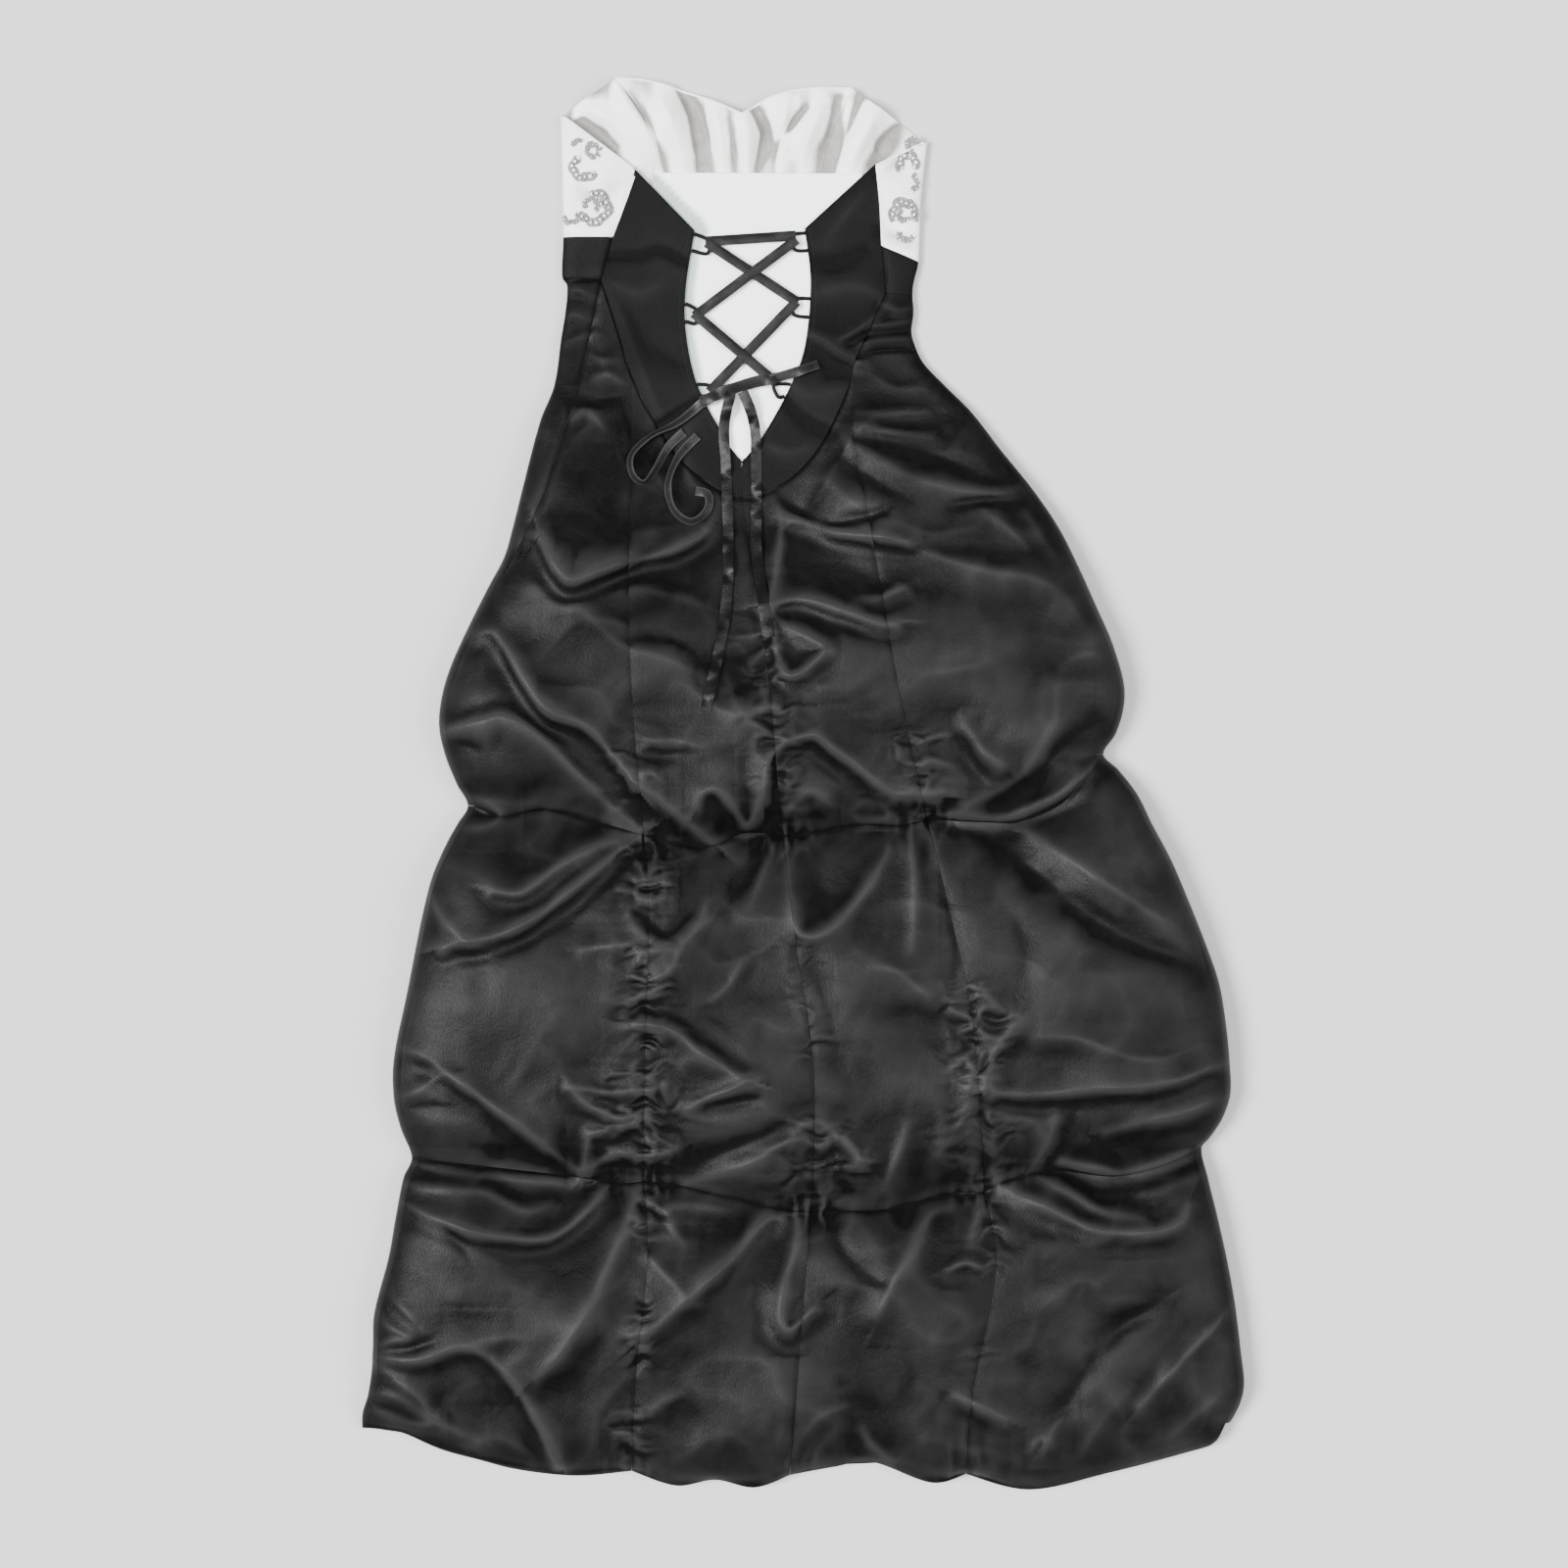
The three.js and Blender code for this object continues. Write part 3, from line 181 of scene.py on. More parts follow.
# Folds of the satin: height of the crest (or of the trough, below zero), its width on the left
# and on the right of its line, the depth of the valley beside it as a share of that height
# (on its right, or on its left below zero), and the line over the layout
Fold = namedtuple("Fold", "high left right valley line")
FOLDS = [Fold(*row) for row in [
    # Upper tier, left
    (12, 15, 5, 0.8, [(555, 547), (563, 564), (572, 584), (588, 596), (620, 584), (652, 573), (690, 562),
         (722, 540), (735, 510)]),
    (5, 7, 9, 0, [(528, 560), (540, 549), (556, 550)]),
    (4, 7, 16, 0, [(550, 600), (580, 621), (620, 608), (660, 603), (725, 620)]),
    (11, 14, 5, 0.85, [(474, 652), (496, 645), (512, 654), (540, 698), (563, 728), (600, 742), (628, 772),
         (650, 802)]),
    (8, 11, 5, 0.6, [(645, 798), (672, 816), (700, 838), (727, 860)]),
    (9, 4, 14, -0.6, [(460, 746), (500, 735), (522, 733), (555, 753), (600, 800), (640, 838), (656, 850)]),
    (-4, 5, 7, 0, [(456, 757), (472, 760), (490, 763)]),
    (6, 7, 4, 0.5, [(474, 811), (496, 818), (512, 830), (504, 841), (478, 845)]),
    (5, 4, 4, 0, [(586, 428), (597, 421), (607, 425), (616, 438)]),
    (4, 5, 9, 0.4, [(602, 438), (586, 450), (574, 476), (560, 520)]),
    (-4, 4, 5, 0, [(588, 413), (610, 411), (632, 404)]),
    (3, 4, 5, 0, [(606, 388), (622, 384), (640, 392)]),
    (3, 4, 5, 0, [(600, 362), (618, 368), (636, 366)]),
    (4, 9, 15, 0, [(600, 626), (618, 646), (640, 662), (680, 672), (725, 694)]),
    (-4, 7, 9, 0, [(650, 650), (678, 652), (704, 664)]),
    (3, 5, 7, 0, [(652, 758), (688, 756), (718, 764)]),
    (-4, 8, 9, 0, [(650, 770), (676, 772), (700, 768)]),
    (4, 6, 6, 0, [(652, 792), (664, 788), (676, 796)]),
    (4, 12, 12, 0, [(700, 700), (735, 724), (770, 738)]),
    # Upper tier, middle
    (8, 8, 4, 0.6, [(712, 822), (719, 809), (732, 807), (748, 823), (762, 842), (775, 826), (783, 795)]),
    (10, 9, 5, 0.8, [(781, 815), (784, 780), (798, 761), (828, 751), (850, 765), (880, 788), (910, 810),
         (955, 814)]),
    (5, 12, 10, 0, [(806, 826), (826, 808), (850, 822)]),
    (8, 9, 4, -0.3, [(787, 502), (796, 530), (795, 570), (786, 612)]),
    (8, 5, 5, 0.4, [(784, 610), (789, 645), (797, 682), (812, 690), (841, 666), (830, 654), (800, 638),
         (788, 628)]),
    (3, 6, 7, 0, [(746, 660), (768, 654), (790, 662)]),
    (4, 3, 5, 0.4, [(772, 724), (786, 720), (798, 726)]),
    (3, 8, 8, 0, [(742, 690), (750, 715), (770, 738)]),
    (-4, 12, 12, 0, [(716, 780), (745, 770), (768, 782)]),
    # Upper tier, right
    (-9, 7, 6, 0, [(779, 496), (795, 503), (812, 520), (838, 537), (865, 534), (900, 525)]),
    (4, 12, 9, 0, [(812, 486), (840, 490), (866, 512), (880, 522)]),
    (11, 5, 5, 0.6, [(786, 506), (798, 524), (830, 535), (860, 546), (900, 551), (924, 556)]),
    (9, 17, 15, 0, [(905, 551), (950, 568), (1000, 582), (1055, 592), (1085, 612), (1112, 652)]),
    (8, 10, 5, 0.9, [(784, 618), (820, 613), (860, 624), (895, 637), (912, 638)]),
    (5, 4, 5, 0.5, [(877, 611), (894, 612), (906, 607), (921, 601)]),
    (-4, 14, 16, 0, [(860, 572), (885, 590), (915, 592)]),
    (5, 5, 4, 0.8, [(885, 370), (898, 360), (915, 355), (932, 354)]),
    (6, 4, 6, -0.6, [(884, 374), (895, 386), (915, 397), (940, 397)]),
    (4, 5, 3, 0.8, [(860, 420), (900, 423), (948, 421)]),
    (6, 3, 9, -0.3, [(856, 433), (885, 437), (915, 443), (950, 447)]),
    (-6, 9, 11, 0, [(872, 449), (915, 455), (960, 468), (1010, 491)]),
    (7, 9, 15, 0, [(858, 447), (885, 463), (925, 486), (965, 498), (1010, 504), (1040, 499)]),
    (-5, 10, 11, 0, [(848, 456), (870, 476), (895, 494), (922, 508)]),
    (-6, 4, 6, 0, [(972, 518), (1000, 514), (1037, 513)]),
    (4, 8, 8, 0, [(1000, 521), (1022, 536), (1048, 562)]),
    (4, 9, 9, 0, [(1042, 520), (1060, 548), (1076, 572)]),
    (3, 5, 7, 0, [(1086, 676), (1102, 669), (1122, 668)]),
    (6, 11, 8, 0, [(1076, 700), (1072, 742), (1052, 776), (1030, 799), (985, 822)]),
    (-8, 10, 12, 0, [(1012, 824), (1052, 797), (1085, 762), (1118, 740)]),
    (8, 6, 4, 0.4, [(960, 832), (1018, 836), (1058, 822), (1088, 806), (1122, 770)]),
    (5, 5, 5, 0.6, [(984, 742), (1000, 766), (1019, 782)]),
    (-5, 5, 7, 0, [(975, 750), (985, 776), (1002, 797)]),
    (3, 4, 5, 0, [(922, 767), (945, 755), (978, 748)]),
    (3, 4, 5, 0, [(930, 782), (950, 776), (968, 782)]),
    (4, 3, 3, 0, [(868, 828), (882, 818), (902, 824), (904, 835), (882, 838), (868, 830)]),
    # Middle tier, left
    (11, 6, 14, -0.9, [(657, 851), (634, 866), (600, 895), (560, 928), (515, 952), (478, 960), (456, 966)]),
    (7, 5, 9, -0.6, [(652, 849), (612, 861), (570, 884), (536, 909), (508, 907)]),
    (6, 8, 4, 0.7, [(442, 893), (446, 912), (462, 940), (486, 961)]),
    (3, 12, 12, 0, [(462, 884), (490, 892), (516, 912)]),
    (6, 9, 4, 0.9, [(404, 1064), (436, 1076), (458, 1091), (500, 1121), (545, 1156), (592, 1193)]),
    (5, 4, 8, -0.5, [(407, 1118), (428, 1111), (443, 1100), (458, 1094)]),
    (-3, 6, 7, 0, [(420, 1128), (450, 1126), (478, 1132)]),
    (-4, 7, 7, 0, [(486, 1166), (520, 1174), (560, 1182)]),
    (5, 5, 6, 0.4, [(598, 966), (640, 962), (664, 968), (678, 965)]),
    (9, 5, 9, -0.6, [(646, 1040), (684, 1046), (715, 1068), (745, 1088), (766, 1097)]),
    (8, 8, 4, -0.3, [(767, 1096), (750, 1106), (722, 1117), (704, 1127)]),
    (-4, 4, 5, 0, [(724, 1125), (745, 1122), (772, 1117)]),
    (5, 4, 5, 0, [(584, 1105), (610, 1109), (640, 1112), (680, 1103)]),
    (6, 4, 4, 0.7, [(586, 1108), (602, 1124), (632, 1135), (658, 1135)]),
    (8, 5, 4, 0.6, [(597, 1196), (600, 1170), (606, 1154), (634, 1147), (653, 1145), (671, 1172)]),
    (7, 4, 5, 0.6, [(600, 1195), (615, 1181), (638, 1174), (660, 1180), (690, 1170)]),
    (-8, 13, 12, 0, [(698, 1190), (730, 1175), (772, 1158), (815, 1138)]),
    (-6, 9, 9, 0, [(658, 930), (680, 950), (704, 932)]),
    (7, 6, 9, 0, [(722, 918), (716, 940), (698, 960), (688, 984), (672, 1002)]),
    (5, 4, 5, 0.5, [(641, 928), (652, 945), (668, 957), (684, 963)]),
    (4, 4, 4, 0, [(664, 880), (662, 902), (670, 918), (680, 906), (678, 884)]),
    (4, 4, 6, 0.3, [(728, 1018), (745, 1001), (757, 978)]),
    (-5, 9, 10, 0, [(788, 856), (768, 884), (744, 922)]),
    (3, 4, 5, 0, [(790, 862), (778, 892), (766, 922)]),
    (-3, 14, 12, 0, [(690, 1026), (724, 1030), (748, 1052)]),
    # Middle tier, middle and right
    (9, 8, 5, 0, [(802, 872), (806, 915), (815, 950), (840, 950), (870, 922), (893, 890), (906, 866)]),
    (-4, 12, 12, 0, [(835, 902), (850, 912), (866, 900)]),
    (7, 7, 7, 0, [(925, 850), (931, 885), (932, 925), (929, 966)]),
    (5, 4, 5, 0.4, [(944, 842), (952, 866), (963, 902)]),
    (-4, 4, 6, 0, [(958, 890), (970, 935), (975, 970), (972, 992)]),
    (-12, 14, 22, 0, [(960, 840), (1010, 858), (1060, 894), (1100, 925), (1160, 962), (1228, 988)]),
    (5, 9, 8, 0, [(978, 836), (1030, 841), (1075, 866), (1120, 898), (1180, 936)]),
    (6, 9, 12, 0, [(892, 983), (915, 989), (944, 1013)]),
    (-5, 20, 20, 0, [(886, 1030), (930, 1042), (968, 1052)]),
    (4, 5, 6, 0, [(984, 1002), (998, 1008), (1012, 1020)]),
    (-5, 5, 5, 0, [(1000, 1032), (1014, 1039), (1026, 1034)]),
    (7, 8, 6, -0.6, [(1030, 1042), (1017, 1062), (1008, 1084), (1001, 1112)]),
    (5, 6, 6, 0, [(968, 1087), (984, 1077), (990, 1092), (984, 1114)]),
    (-4, 12, 14, 0, [(1028, 930), (1042, 960), (1040, 990)]),
    (3, 5, 9, 0.6, [(1056, 1055), (1100, 1058), (1150, 1076), (1190, 1075), (1220, 1064)]),
    (8, 13, 5, 0.9, [(1012, 1112), (1060, 1113), (1120, 1107), (1180, 1103), (1242, 1084)]),
    (6, 4, 5, 0.6, [(1126, 1151), (1160, 1142), (1205, 1132), (1245, 1117)]),
    (4, 5, 5, 0, [(1076, 1126), (1068, 1158), (1050, 1192)]),
    (-4, 6, 7, 0, [(1092, 1132), (1084, 1162), (1064, 1190)]),
    (7, 5, 4, 0.7, [(1082, 1182), (1105, 1190), (1145, 1196), (1190, 1184), (1218, 1170)]),
    (5, 6, 12, -0.4, [(700, 1205), (760, 1186), (800, 1161), (832, 1139), (856, 1158), (880, 1182)]),
    (5, 3, 3, 0, [(862, 1156), (878, 1178), (893, 1182)]),
    (4, 3, 4, 0, [(884, 1168), (880, 1180), (866, 1188)]),
    (7, 5, 9, 0.5, [(904, 1202), (912, 1184), (919, 1166), (925, 1146)]),
    (4, 16, 14, 0, [(950, 1180), (975, 1150), (990, 1122)]),
    (-3, 14, 14, 0, [(826, 960), (842, 1020), (858, 1080)]),
    # Lower tier, left
    (5, 4, 5, 0.6, [(424, 1186), (480, 1195), (530, 1199), (590, 1204)]),
    (6, 5, 5, -0.7, [(414, 1206), (470, 1210), (500, 1213), (535, 1230), (560, 1227)]),
    (9, 8, 6, 0.6, [(414, 1225), (450, 1238), (490, 1252), (550, 1260), (582, 1248), (615, 1216)]),
    (10, 10, 13, -0.5, [(655, 1210), (644, 1236), (622, 1286), (600, 1335), (575, 1375), (550, 1400)]),
    (3, 12, 12, 0, [(470, 1370), (505, 1361), (545, 1360)]),
    (10, 12, 6, 0.5, [(384, 1380), (430, 1382), (470, 1370), (500, 1378), (530, 1410), (555, 1455),
         (572, 1491)]),
    (6, 4, 4, 0.6, [(383, 1375), (390, 1390), (430, 1420), (446, 1443), (490, 1466)]),
    (5, 3, 4, 0.7, [(380, 1418), (405, 1421), (424, 1430), (438, 1441)]),
    (5, 3, 4, 0, [(379, 1436), (405, 1442), (432, 1449), (446, 1443)]),
    (5, 4, 4, -0.6, [(388, 1330), (400, 1347), (420, 1360), (404, 1364), (386, 1371)]),
    (4, 5, 5, 0.6, [(402, 1318), (416, 1331), (436, 1353)]),
    (-5, 5, 6, 0, [(400, 1373), (425, 1370), (446, 1362)]),
    (-3, 5, 6, 0, [(458, 1244), (472, 1262), (484, 1282)]),
    (4, 9, 8, 0, [(480, 1470), (512, 1462), (545, 1482)]),
    # Lower tier, middle
    (12, 8, 13, -0.4, [(797, 1238), (778, 1242), (750, 1275), (715, 1310), (685, 1335), (657, 1359)]),
    (6, 6, 6, 0.5, [(663, 1276), (680, 1295), (700, 1316)]),
    (4, 5, 6, 0, [(682, 1228), (710, 1226), (746, 1232)]),
    (4, 4, 5, 0, [(682, 1232), (689, 1250), (698, 1262)]),
    (10, 8, 8, 0.6, [(816, 1240), (811, 1270), (800, 1305), (796, 1335), (806, 1351), (829, 1331)]),
    (4, 12, 14, 0, [(690, 1486), (720, 1466), (748, 1458), (768, 1474)]),
    (4, 7, 7, 0, [(664, 1436), (680, 1424), (696, 1418)]),
    (3, 16, 16, 0, [(792, 1380), (800, 1430), (790, 1480)]),
    (9, 9, 9, 0.4, [(968, 1228), (948, 1236), (930, 1270), (910, 1302), (894, 1338)]),
    (-6, 10, 10, 0, [(848, 1244), (864, 1275), (902, 1306)]),
    (3, 8, 9, 0, [(876, 1244), (896, 1268), (920, 1262)]),
    (4, 6, 8, 0, [(820, 1456), (836, 1440), (860, 1430)]),
    (4, 4, 6, 0.5, [(880, 1456), (890, 1471), (910, 1487)]),
    # Lower tier, right
    (10, 8, 8, 0.5, [(1018, 1206), (1060, 1224), (1115, 1250), (1170, 1252), (1198, 1243), (1208, 1226)]),
    (6, 4, 3, -0.8, [(1058, 1199), (1085, 1210), (1120, 1230), (1160, 1238)]),
    (4, 5, 6, 0, [(1162, 1214), (1185, 1209), (1222, 1196)]),
    (7, 8, 6, 0.3, [(1252, 1331), (1225, 1358), (1195, 1390), (1160, 1430)]),
    (5, 18, 20, 0, [(1098, 1482), (1122, 1444), (1150, 1412)]),
    (-8, 10, 14, 0, [(1182, 1322), (1140, 1350), (1108, 1392), (1066, 1460)]),
    (5, 4, 5, 0, [(1082, 1438), (1069, 1458), (1062, 1478)]),
    (6, 5, 6, 0.7, [(968, 1289), (984, 1283), (1000, 1289)]),
    (4, 5, 5, 0, [(1001, 1222), (993, 1244), (989, 1262)]),
    (6, 4, 6, 0.6, [(976, 1419), (990, 1425), (1023, 1442)]),
    (5, 10, 10, 0, [(1190, 1462), (1215, 1440), (1240, 1420)]),
    (4, 6, 6, 0, [(1050, 1474), (1060, 1462), (1072, 1470)]),
]]

# Folds of the black bodice back and of the midriff where they wrap over
BODICE_FOLD_HEIGHT = 2.0
DEEPEST = -0.7
BODICE_FOLDS = [Fold(BODICE_FOLD_HEIGHT * high, *rest) for high, *rest in [
    (-1.6, 4, 4, 0, [(624, 263), (655, 262), (676, 258), (706, 272)]),
    (1, 9, 8, 0, [(624, 288), (652, 300), (676, 290)]),
    (-1.2, 10, 12, 0, [(640, 318), (662, 356), (697, 376)]),
    (1.4, 10, 14, 0, [(622, 296), (642, 340), (662, 392), (676, 428)]),
    (-1.8, 3, 5, 0, [(662, 442), (690, 424), (714, 408)]),
    (1.4, 7, 7, 0, [(704, 436), (698, 465), (708, 494), (730, 506)]),
    (-1.2, 4, 6, 0, [(690, 446), (686, 462), (694, 480)]),
    (2.2, 4, 6, 0.6, [(824, 341), (842, 348), (858, 360), (876, 370)]),
    (1.6, 4, 4, 0.5, [(858, 347), (880, 335), (896, 320)]),
    (1.4, 12, 14, 0, [(838, 300), (866, 292), (896, 300)]),
    (-1.4, 9, 9, 0, [(830, 268), (852, 270), (880, 256)]),
    (1, 8, 8, 0, [(846, 244), (862, 222), (880, 200)]),
    (-2, 3, 6, 0, [(798, 404), (822, 428), (850, 442)]),
    (1.4, 8, 8, 0, [(808, 392), (830, 404), (858, 400)]),
    (1.2, 6, 6, 0, [(780, 452), (802, 462), (822, 458)]),
    (-1.2, 6, 6, 0, [(846, 384), (856, 378), (868, 382)]),
    (2.2, 3, 4, -0.5, [(572, 354), (590, 346), (608, 342)]),
    (1.8, 3, 4, 0.5, [(575, 300), (590, 296), (606, 304)]),
    (1.8, 4, 3, 0.5, [(572, 326), (586, 322), (604, 328)]),
    (1.6, 3, 4, 0, [(570, 376), (584, 372), (600, 380)]),
    (1.8, 4, 4, 0.5, [(904, 312), (918, 318), (934, 312)]),
    (1.8, 3, 4, 0.5, [(890, 334), (908, 332), (932, 328)]),
    (1.8, 3, 4, -0.5, [(878, 352), (900, 348), (934, 346)]),
    (1, 8, 8, 0, [(903, 190), (915, 205), (932, 212)]),
    (-1.2, 6, 9, 0, [(901, 236), (915, 244), (935, 250)]),
    (-1.2, 8, 8, 0, [(930, 152), (916, 164), (902, 178)]),
    (-0.9, 9, 9, 0, [(586, 192), (610, 202), (632, 188)]),
    (0.9, 8, 8, 0, [(584, 236), (604, 238), (622, 234)]),
]]

# Flutes of the bust, seen on the inside of the front
FLUTES = [Fold(*row) for row in [
    (4.6, 9, 12, 0, [(628, 86), (650, 120), (668, 150), (676, 184)]),
    (-3.4, 5, 8, 0, [(642, 96), (664, 130), (682, 184)]),
    (3.6, 12, 12, 0, [(602, 112), (625, 126), (648, 164)]),
    (-3, 7, 8, 0, [(588, 122), (606, 134), (628, 150)]),
    (4.5, 16, 15, 0, [(676, 104), (690, 140), (702, 184)]),
    (-6, 13, 8, 0, [(694, 92), (708, 116), (715, 145), (720, 184)]),
    (3.6, 11, 11, 0, [(728, 108), (735, 145), (740, 184)]),
    (-2.6, 5, 7, 0, [(744, 114), (748, 150), (751, 184)]),
    (4.8, 11, 12, 0, [(760, 116), (762, 145), (764, 184)]),
    (-5.5, 6, 7, 0, [(770, 112), (780, 130), (781, 146), (771, 182)]),
    (4, 9, 9, 0, [(804, 100), (798, 145), (791, 184)]),
    (-4, 5, 6, 0, [(822, 112), (802, 136), (792, 156), (788, 184)]),
    (4.8, 15, 15, 0, [(840, 108), (824, 150), (814, 184)]),
    (-5, 9, 8, 0, [(855, 104), (850, 128), (843, 152), (838, 184)]),
    (3.2, 8, 8, 0, [(866, 110), (861, 150), (853, 184)]),
    (-3.4, 5, 7, 0, [(880, 96), (866, 130), (848, 184)]),
    (4.4, 14, 14, 0, [(898, 114), (882, 140), (866, 178)]),
    (-3, 8, 9, 0, [(922, 128), (908, 144), (892, 166)]),
]]
FLUTE_HEIGHT = 3.2
BUST_LIFT = [(82, 8), (110, 9), (130, 7.2), (150, 3.8), (165, 1.9), (178, 1), (200, 0.4), (243, 0)]
BUST_RAMP = 70
BUST_FULL = 9

# Ruching where a gore's seam is drawn up: tier, seam, start and end down, height, reach
RUCHES = [
    ("middle", "a", 858, 935, 4.5, 22),
    ("middle", "a", 950, 1075, 4.5, 20),
    ("middle", "a", 1075, 1195, 4.0, 34),
    ("middle", "c", 990, 1110, 3.6, 24),
    ("middle", "b", 950, 1090, 1.4, 18),
    ("middle", "b", 1130, 1230, 2.4, 34),
    ("middle", "c", 1120, 1210, 1.8, 34),
    ("lower", "a", 1205, 1265, 3.6, 18),
    ("lower", "a", 1315, 1400, 3.4, 13),
    ("lower", "a", 1425, 1490, 3.2, 18),
    ("lower", "c", 1214, 1300, 2.2, 16),
    ("lower", "c", 1360, 1390, 1.6, 14),
    ("upper", "b", 640, 845, 2.2, 26),
    ("upper", "a", 740, 850, 2.0, 22),
    ("upper", "c", 740, 835, 2.2, 24),
]

# Gathers on both sides of each tier's seam: height, and reach above and below
GATHERS = {"upper": (2.6, 16, 22), "middle": (2.2, 15, 16), "lower": (1.6, 26, 1)}

# Profiles of the folds: a crest's rounding in millimetres, how wide crests and troughs are for their
# figures, the narrowest fold of the skirt, and the shares of the figures' heights that are used
CREST = 1.3
CREST_WIDTH = 1.3
TROUGH_WIDTH = 1.3
NARROWEST = 6.0
FOLD_HEIGHT = 0.9
VALLEY_SHARE = 0.45

# Steps to both sides, in millimetres, over which the puffs' heights are evened out
EVEN_STEPS = (-27, -18, -9, 0, 9, 18, 27)

# Painted shade and highlight of the cloth: how far a point stands out is measured against its
# surroundings over a reach, and over a short and a broad reach with their own shares, and the cloth
# is painted darker where it lies low and lighter where it stands out
HOLLOW_REACH = 7.0
WHITE_REACH = 13.0
BODICE_REACH = 12.0
CREST_REACH, CREST_SHARE = 2.8, 0.9
BROAD_REACH, BROAD_SHARE = 22.0, 0.4

# Painted shade: the satin is painted darker from the waist down to this line, faded out over some millimetres:
# right, down
WAIST_SHADE = 1.0
WAIST_FADE = 150
WAIST_LINE = [(480, 700), (560, 730), (640, 720), (760, 660), (900, 640), (1100, 600)]

# Patches of painted shade, where the satin is painted darker: right, down, width, length, strength
PAINTED_SHADE_PATCHES = [
    (590, 660, 62, 60, 0.5), (1030, 1310, 150, 80, 0.5), (870, 1340, 60, 120, 0.35),
    (480, 1262, 100, 30, 0.5), (400, 1340, 50, 60, 0.5), (850, 1000, 60, 60, 0.25),
    (720, 1380, 60, 60, 0.4), (850, 640, 80, 60, 0.4), (1160, 1020, 50, 60, 0.2),
]

# Grooves across the back's seams in millimetres: depth, half width
GORE_GROOVE = (0.9, 4)
TIER_GROOVE = (1.5, 3.2)
SIDE_GROOVE = (1.6, 2.6)


def smooth(rows, at):
    """A smooth line through a table's rows, read at one or many places."""
    keys, values = np.array(rows, float).T
    at = np.clip(np.asarray(at, float), keys[0], keys[-1])
    slopes = np.empty_like(values)
    slopes[1:-1] = (values[2:] - values[:-2]) / (keys[2:] - keys[:-2])
    slopes[0] = (values[1] - values[0]) / (keys[1] - keys[0])
    slopes[-1] = (values[-1] - values[-2]) / (keys[-1] - keys[-2])
    i = np.clip(np.searchsorted(keys, at, side="right") - 1, 0, len(keys) - 2)
    span = keys[i + 1] - keys[i]
    t = (at - keys[i]) / span
    a = 2 * t**3 - 3 * t**2 + 1
    b = t**3 - 2 * t**2 + t
    c = t**3 - t**2
    return a * values[i] + b * span * slopes[i] + (1 - a) * values[i + 1] + c * span * slopes[i + 1]


def spline(points, per_segment=24):
    """Points on a smooth curve through the given ones."""
    points = np.array(points, float)
    padded = np.vstack([points[0], points, points[-1]])
    t = np.linspace(0, 1, per_segment, endpoint=False)[:, None]
    out = []
    for p0, p1, p2, p3 in zip(padded, padded[1:], padded[2:], padded[3:]):
        v0, v1 = (p2 - p0) / 2, (p3 - p1) / 2
        cubic, square = 2 * p1 - 2 * p2 + v0 + v1, -3 * p1 + 3 * p2 - 2 * v0 - v1
        out.append(cubic * t**3 + square * t**2 + v0 * t + p1)
    return np.vstack([*out, points[-1:]])


def evenly(points, cells):
    """That curve at even steps."""
    curve = spline(points)
    along = np.concatenate([[0], np.cumsum(np.linalg.norm(np.diff(curve, axis=0), axis=1))])
    steps = np.linspace(0, along[-1], cells + 1)
    return np.stack([np.interp(steps, along, curve[:, k]) for k in range(curve.shape[1])], axis=1)


def length_of(points):
    return float(np.linalg.norm(np.diff(spline(points), axis=0), axis=1).sum())


def left_edge(down):
    return smooth(LEFT_FOLD, down)


def right_edge(down):
    return smooth(RIGHT_FOLD, down)


def whole_seam(seam):
    return seam["side_left"] + seam["left"][1:] + seam["right"][1:] + seam["side_right"][1:]


SEAMS = {
    "top": whole_seam(BASQUE), "upper": whole_seam(UPPER_SEAM),
    "middle": whole_seam(LOWER_SEAM), "lower": whole_seam(HEM),
}
TIERS = [("upper", "top"), ("middle", "upper"), ("lower", "middle")]


def puff_level(right, down):
    """Height of the puffs at each point, tier by tier."""
    level = np.full(np.shape(right), float(BODICE_LEVEL))
    for tier, above in TIERS:
        top, foot = smooth(SEAMS[above], right), smooth(SEAMS[tier], right)
        share = np.clip((down - top) / np.maximum(foot - top, 1), 0, 1)
        level = np.where(down > top, smooth(PUFF[tier], share), level)
    return level


def level_at(right, down):
    """Height of the back's outer face before its edges roll under, evened out across the puffs."""
    level = puff_level(right, down)
    around = np.mean([puff_level(right + step, down) for step in EVEN_STEPS], axis=0)
    return level + (around - level) * np.clip((level - BODICE_LEVEL) / 8, 0, 1)


def fold_middle(level):
    return np.minimum(level * FOLD_SHARE, FOLD_MOST)


def noise(right, down, wide, long, seed):
    """A soft random surface between -1 and 1, with its own size each way."""
    size = 64
    grid = np.random.default_rng(seed).uniform(-1, 1, (size, size))
    x, y = right / wide, down / long
    i, j = np.floor(x).astype(int), np.floor(y).astype(int)
    u, v = x - i, y - j
    u, v = u * u * (3 - 2 * u), v * v * (3 - 2 * v)
    a, b = grid[i % size, j % size], grid[(i + 1) % size, j % size]
    c, d = grid[i % size, (j + 1) % size], grid[(i + 1) % size, (j + 1) % size]
    return (a * (1 - u) + b * u) * (1 - v) + (c * (1 - u) + d * u) * v


def creases(right, down, wide, long, seed):
    """Random crests with sharp tops, between -1 and 1."""
    finer = noise(right, down, wide / 2, long / 2, seed + 1)
    return 1 - 2.4 * np.abs(noise(right, down, wide, long, seed) + 0.4 * finer)


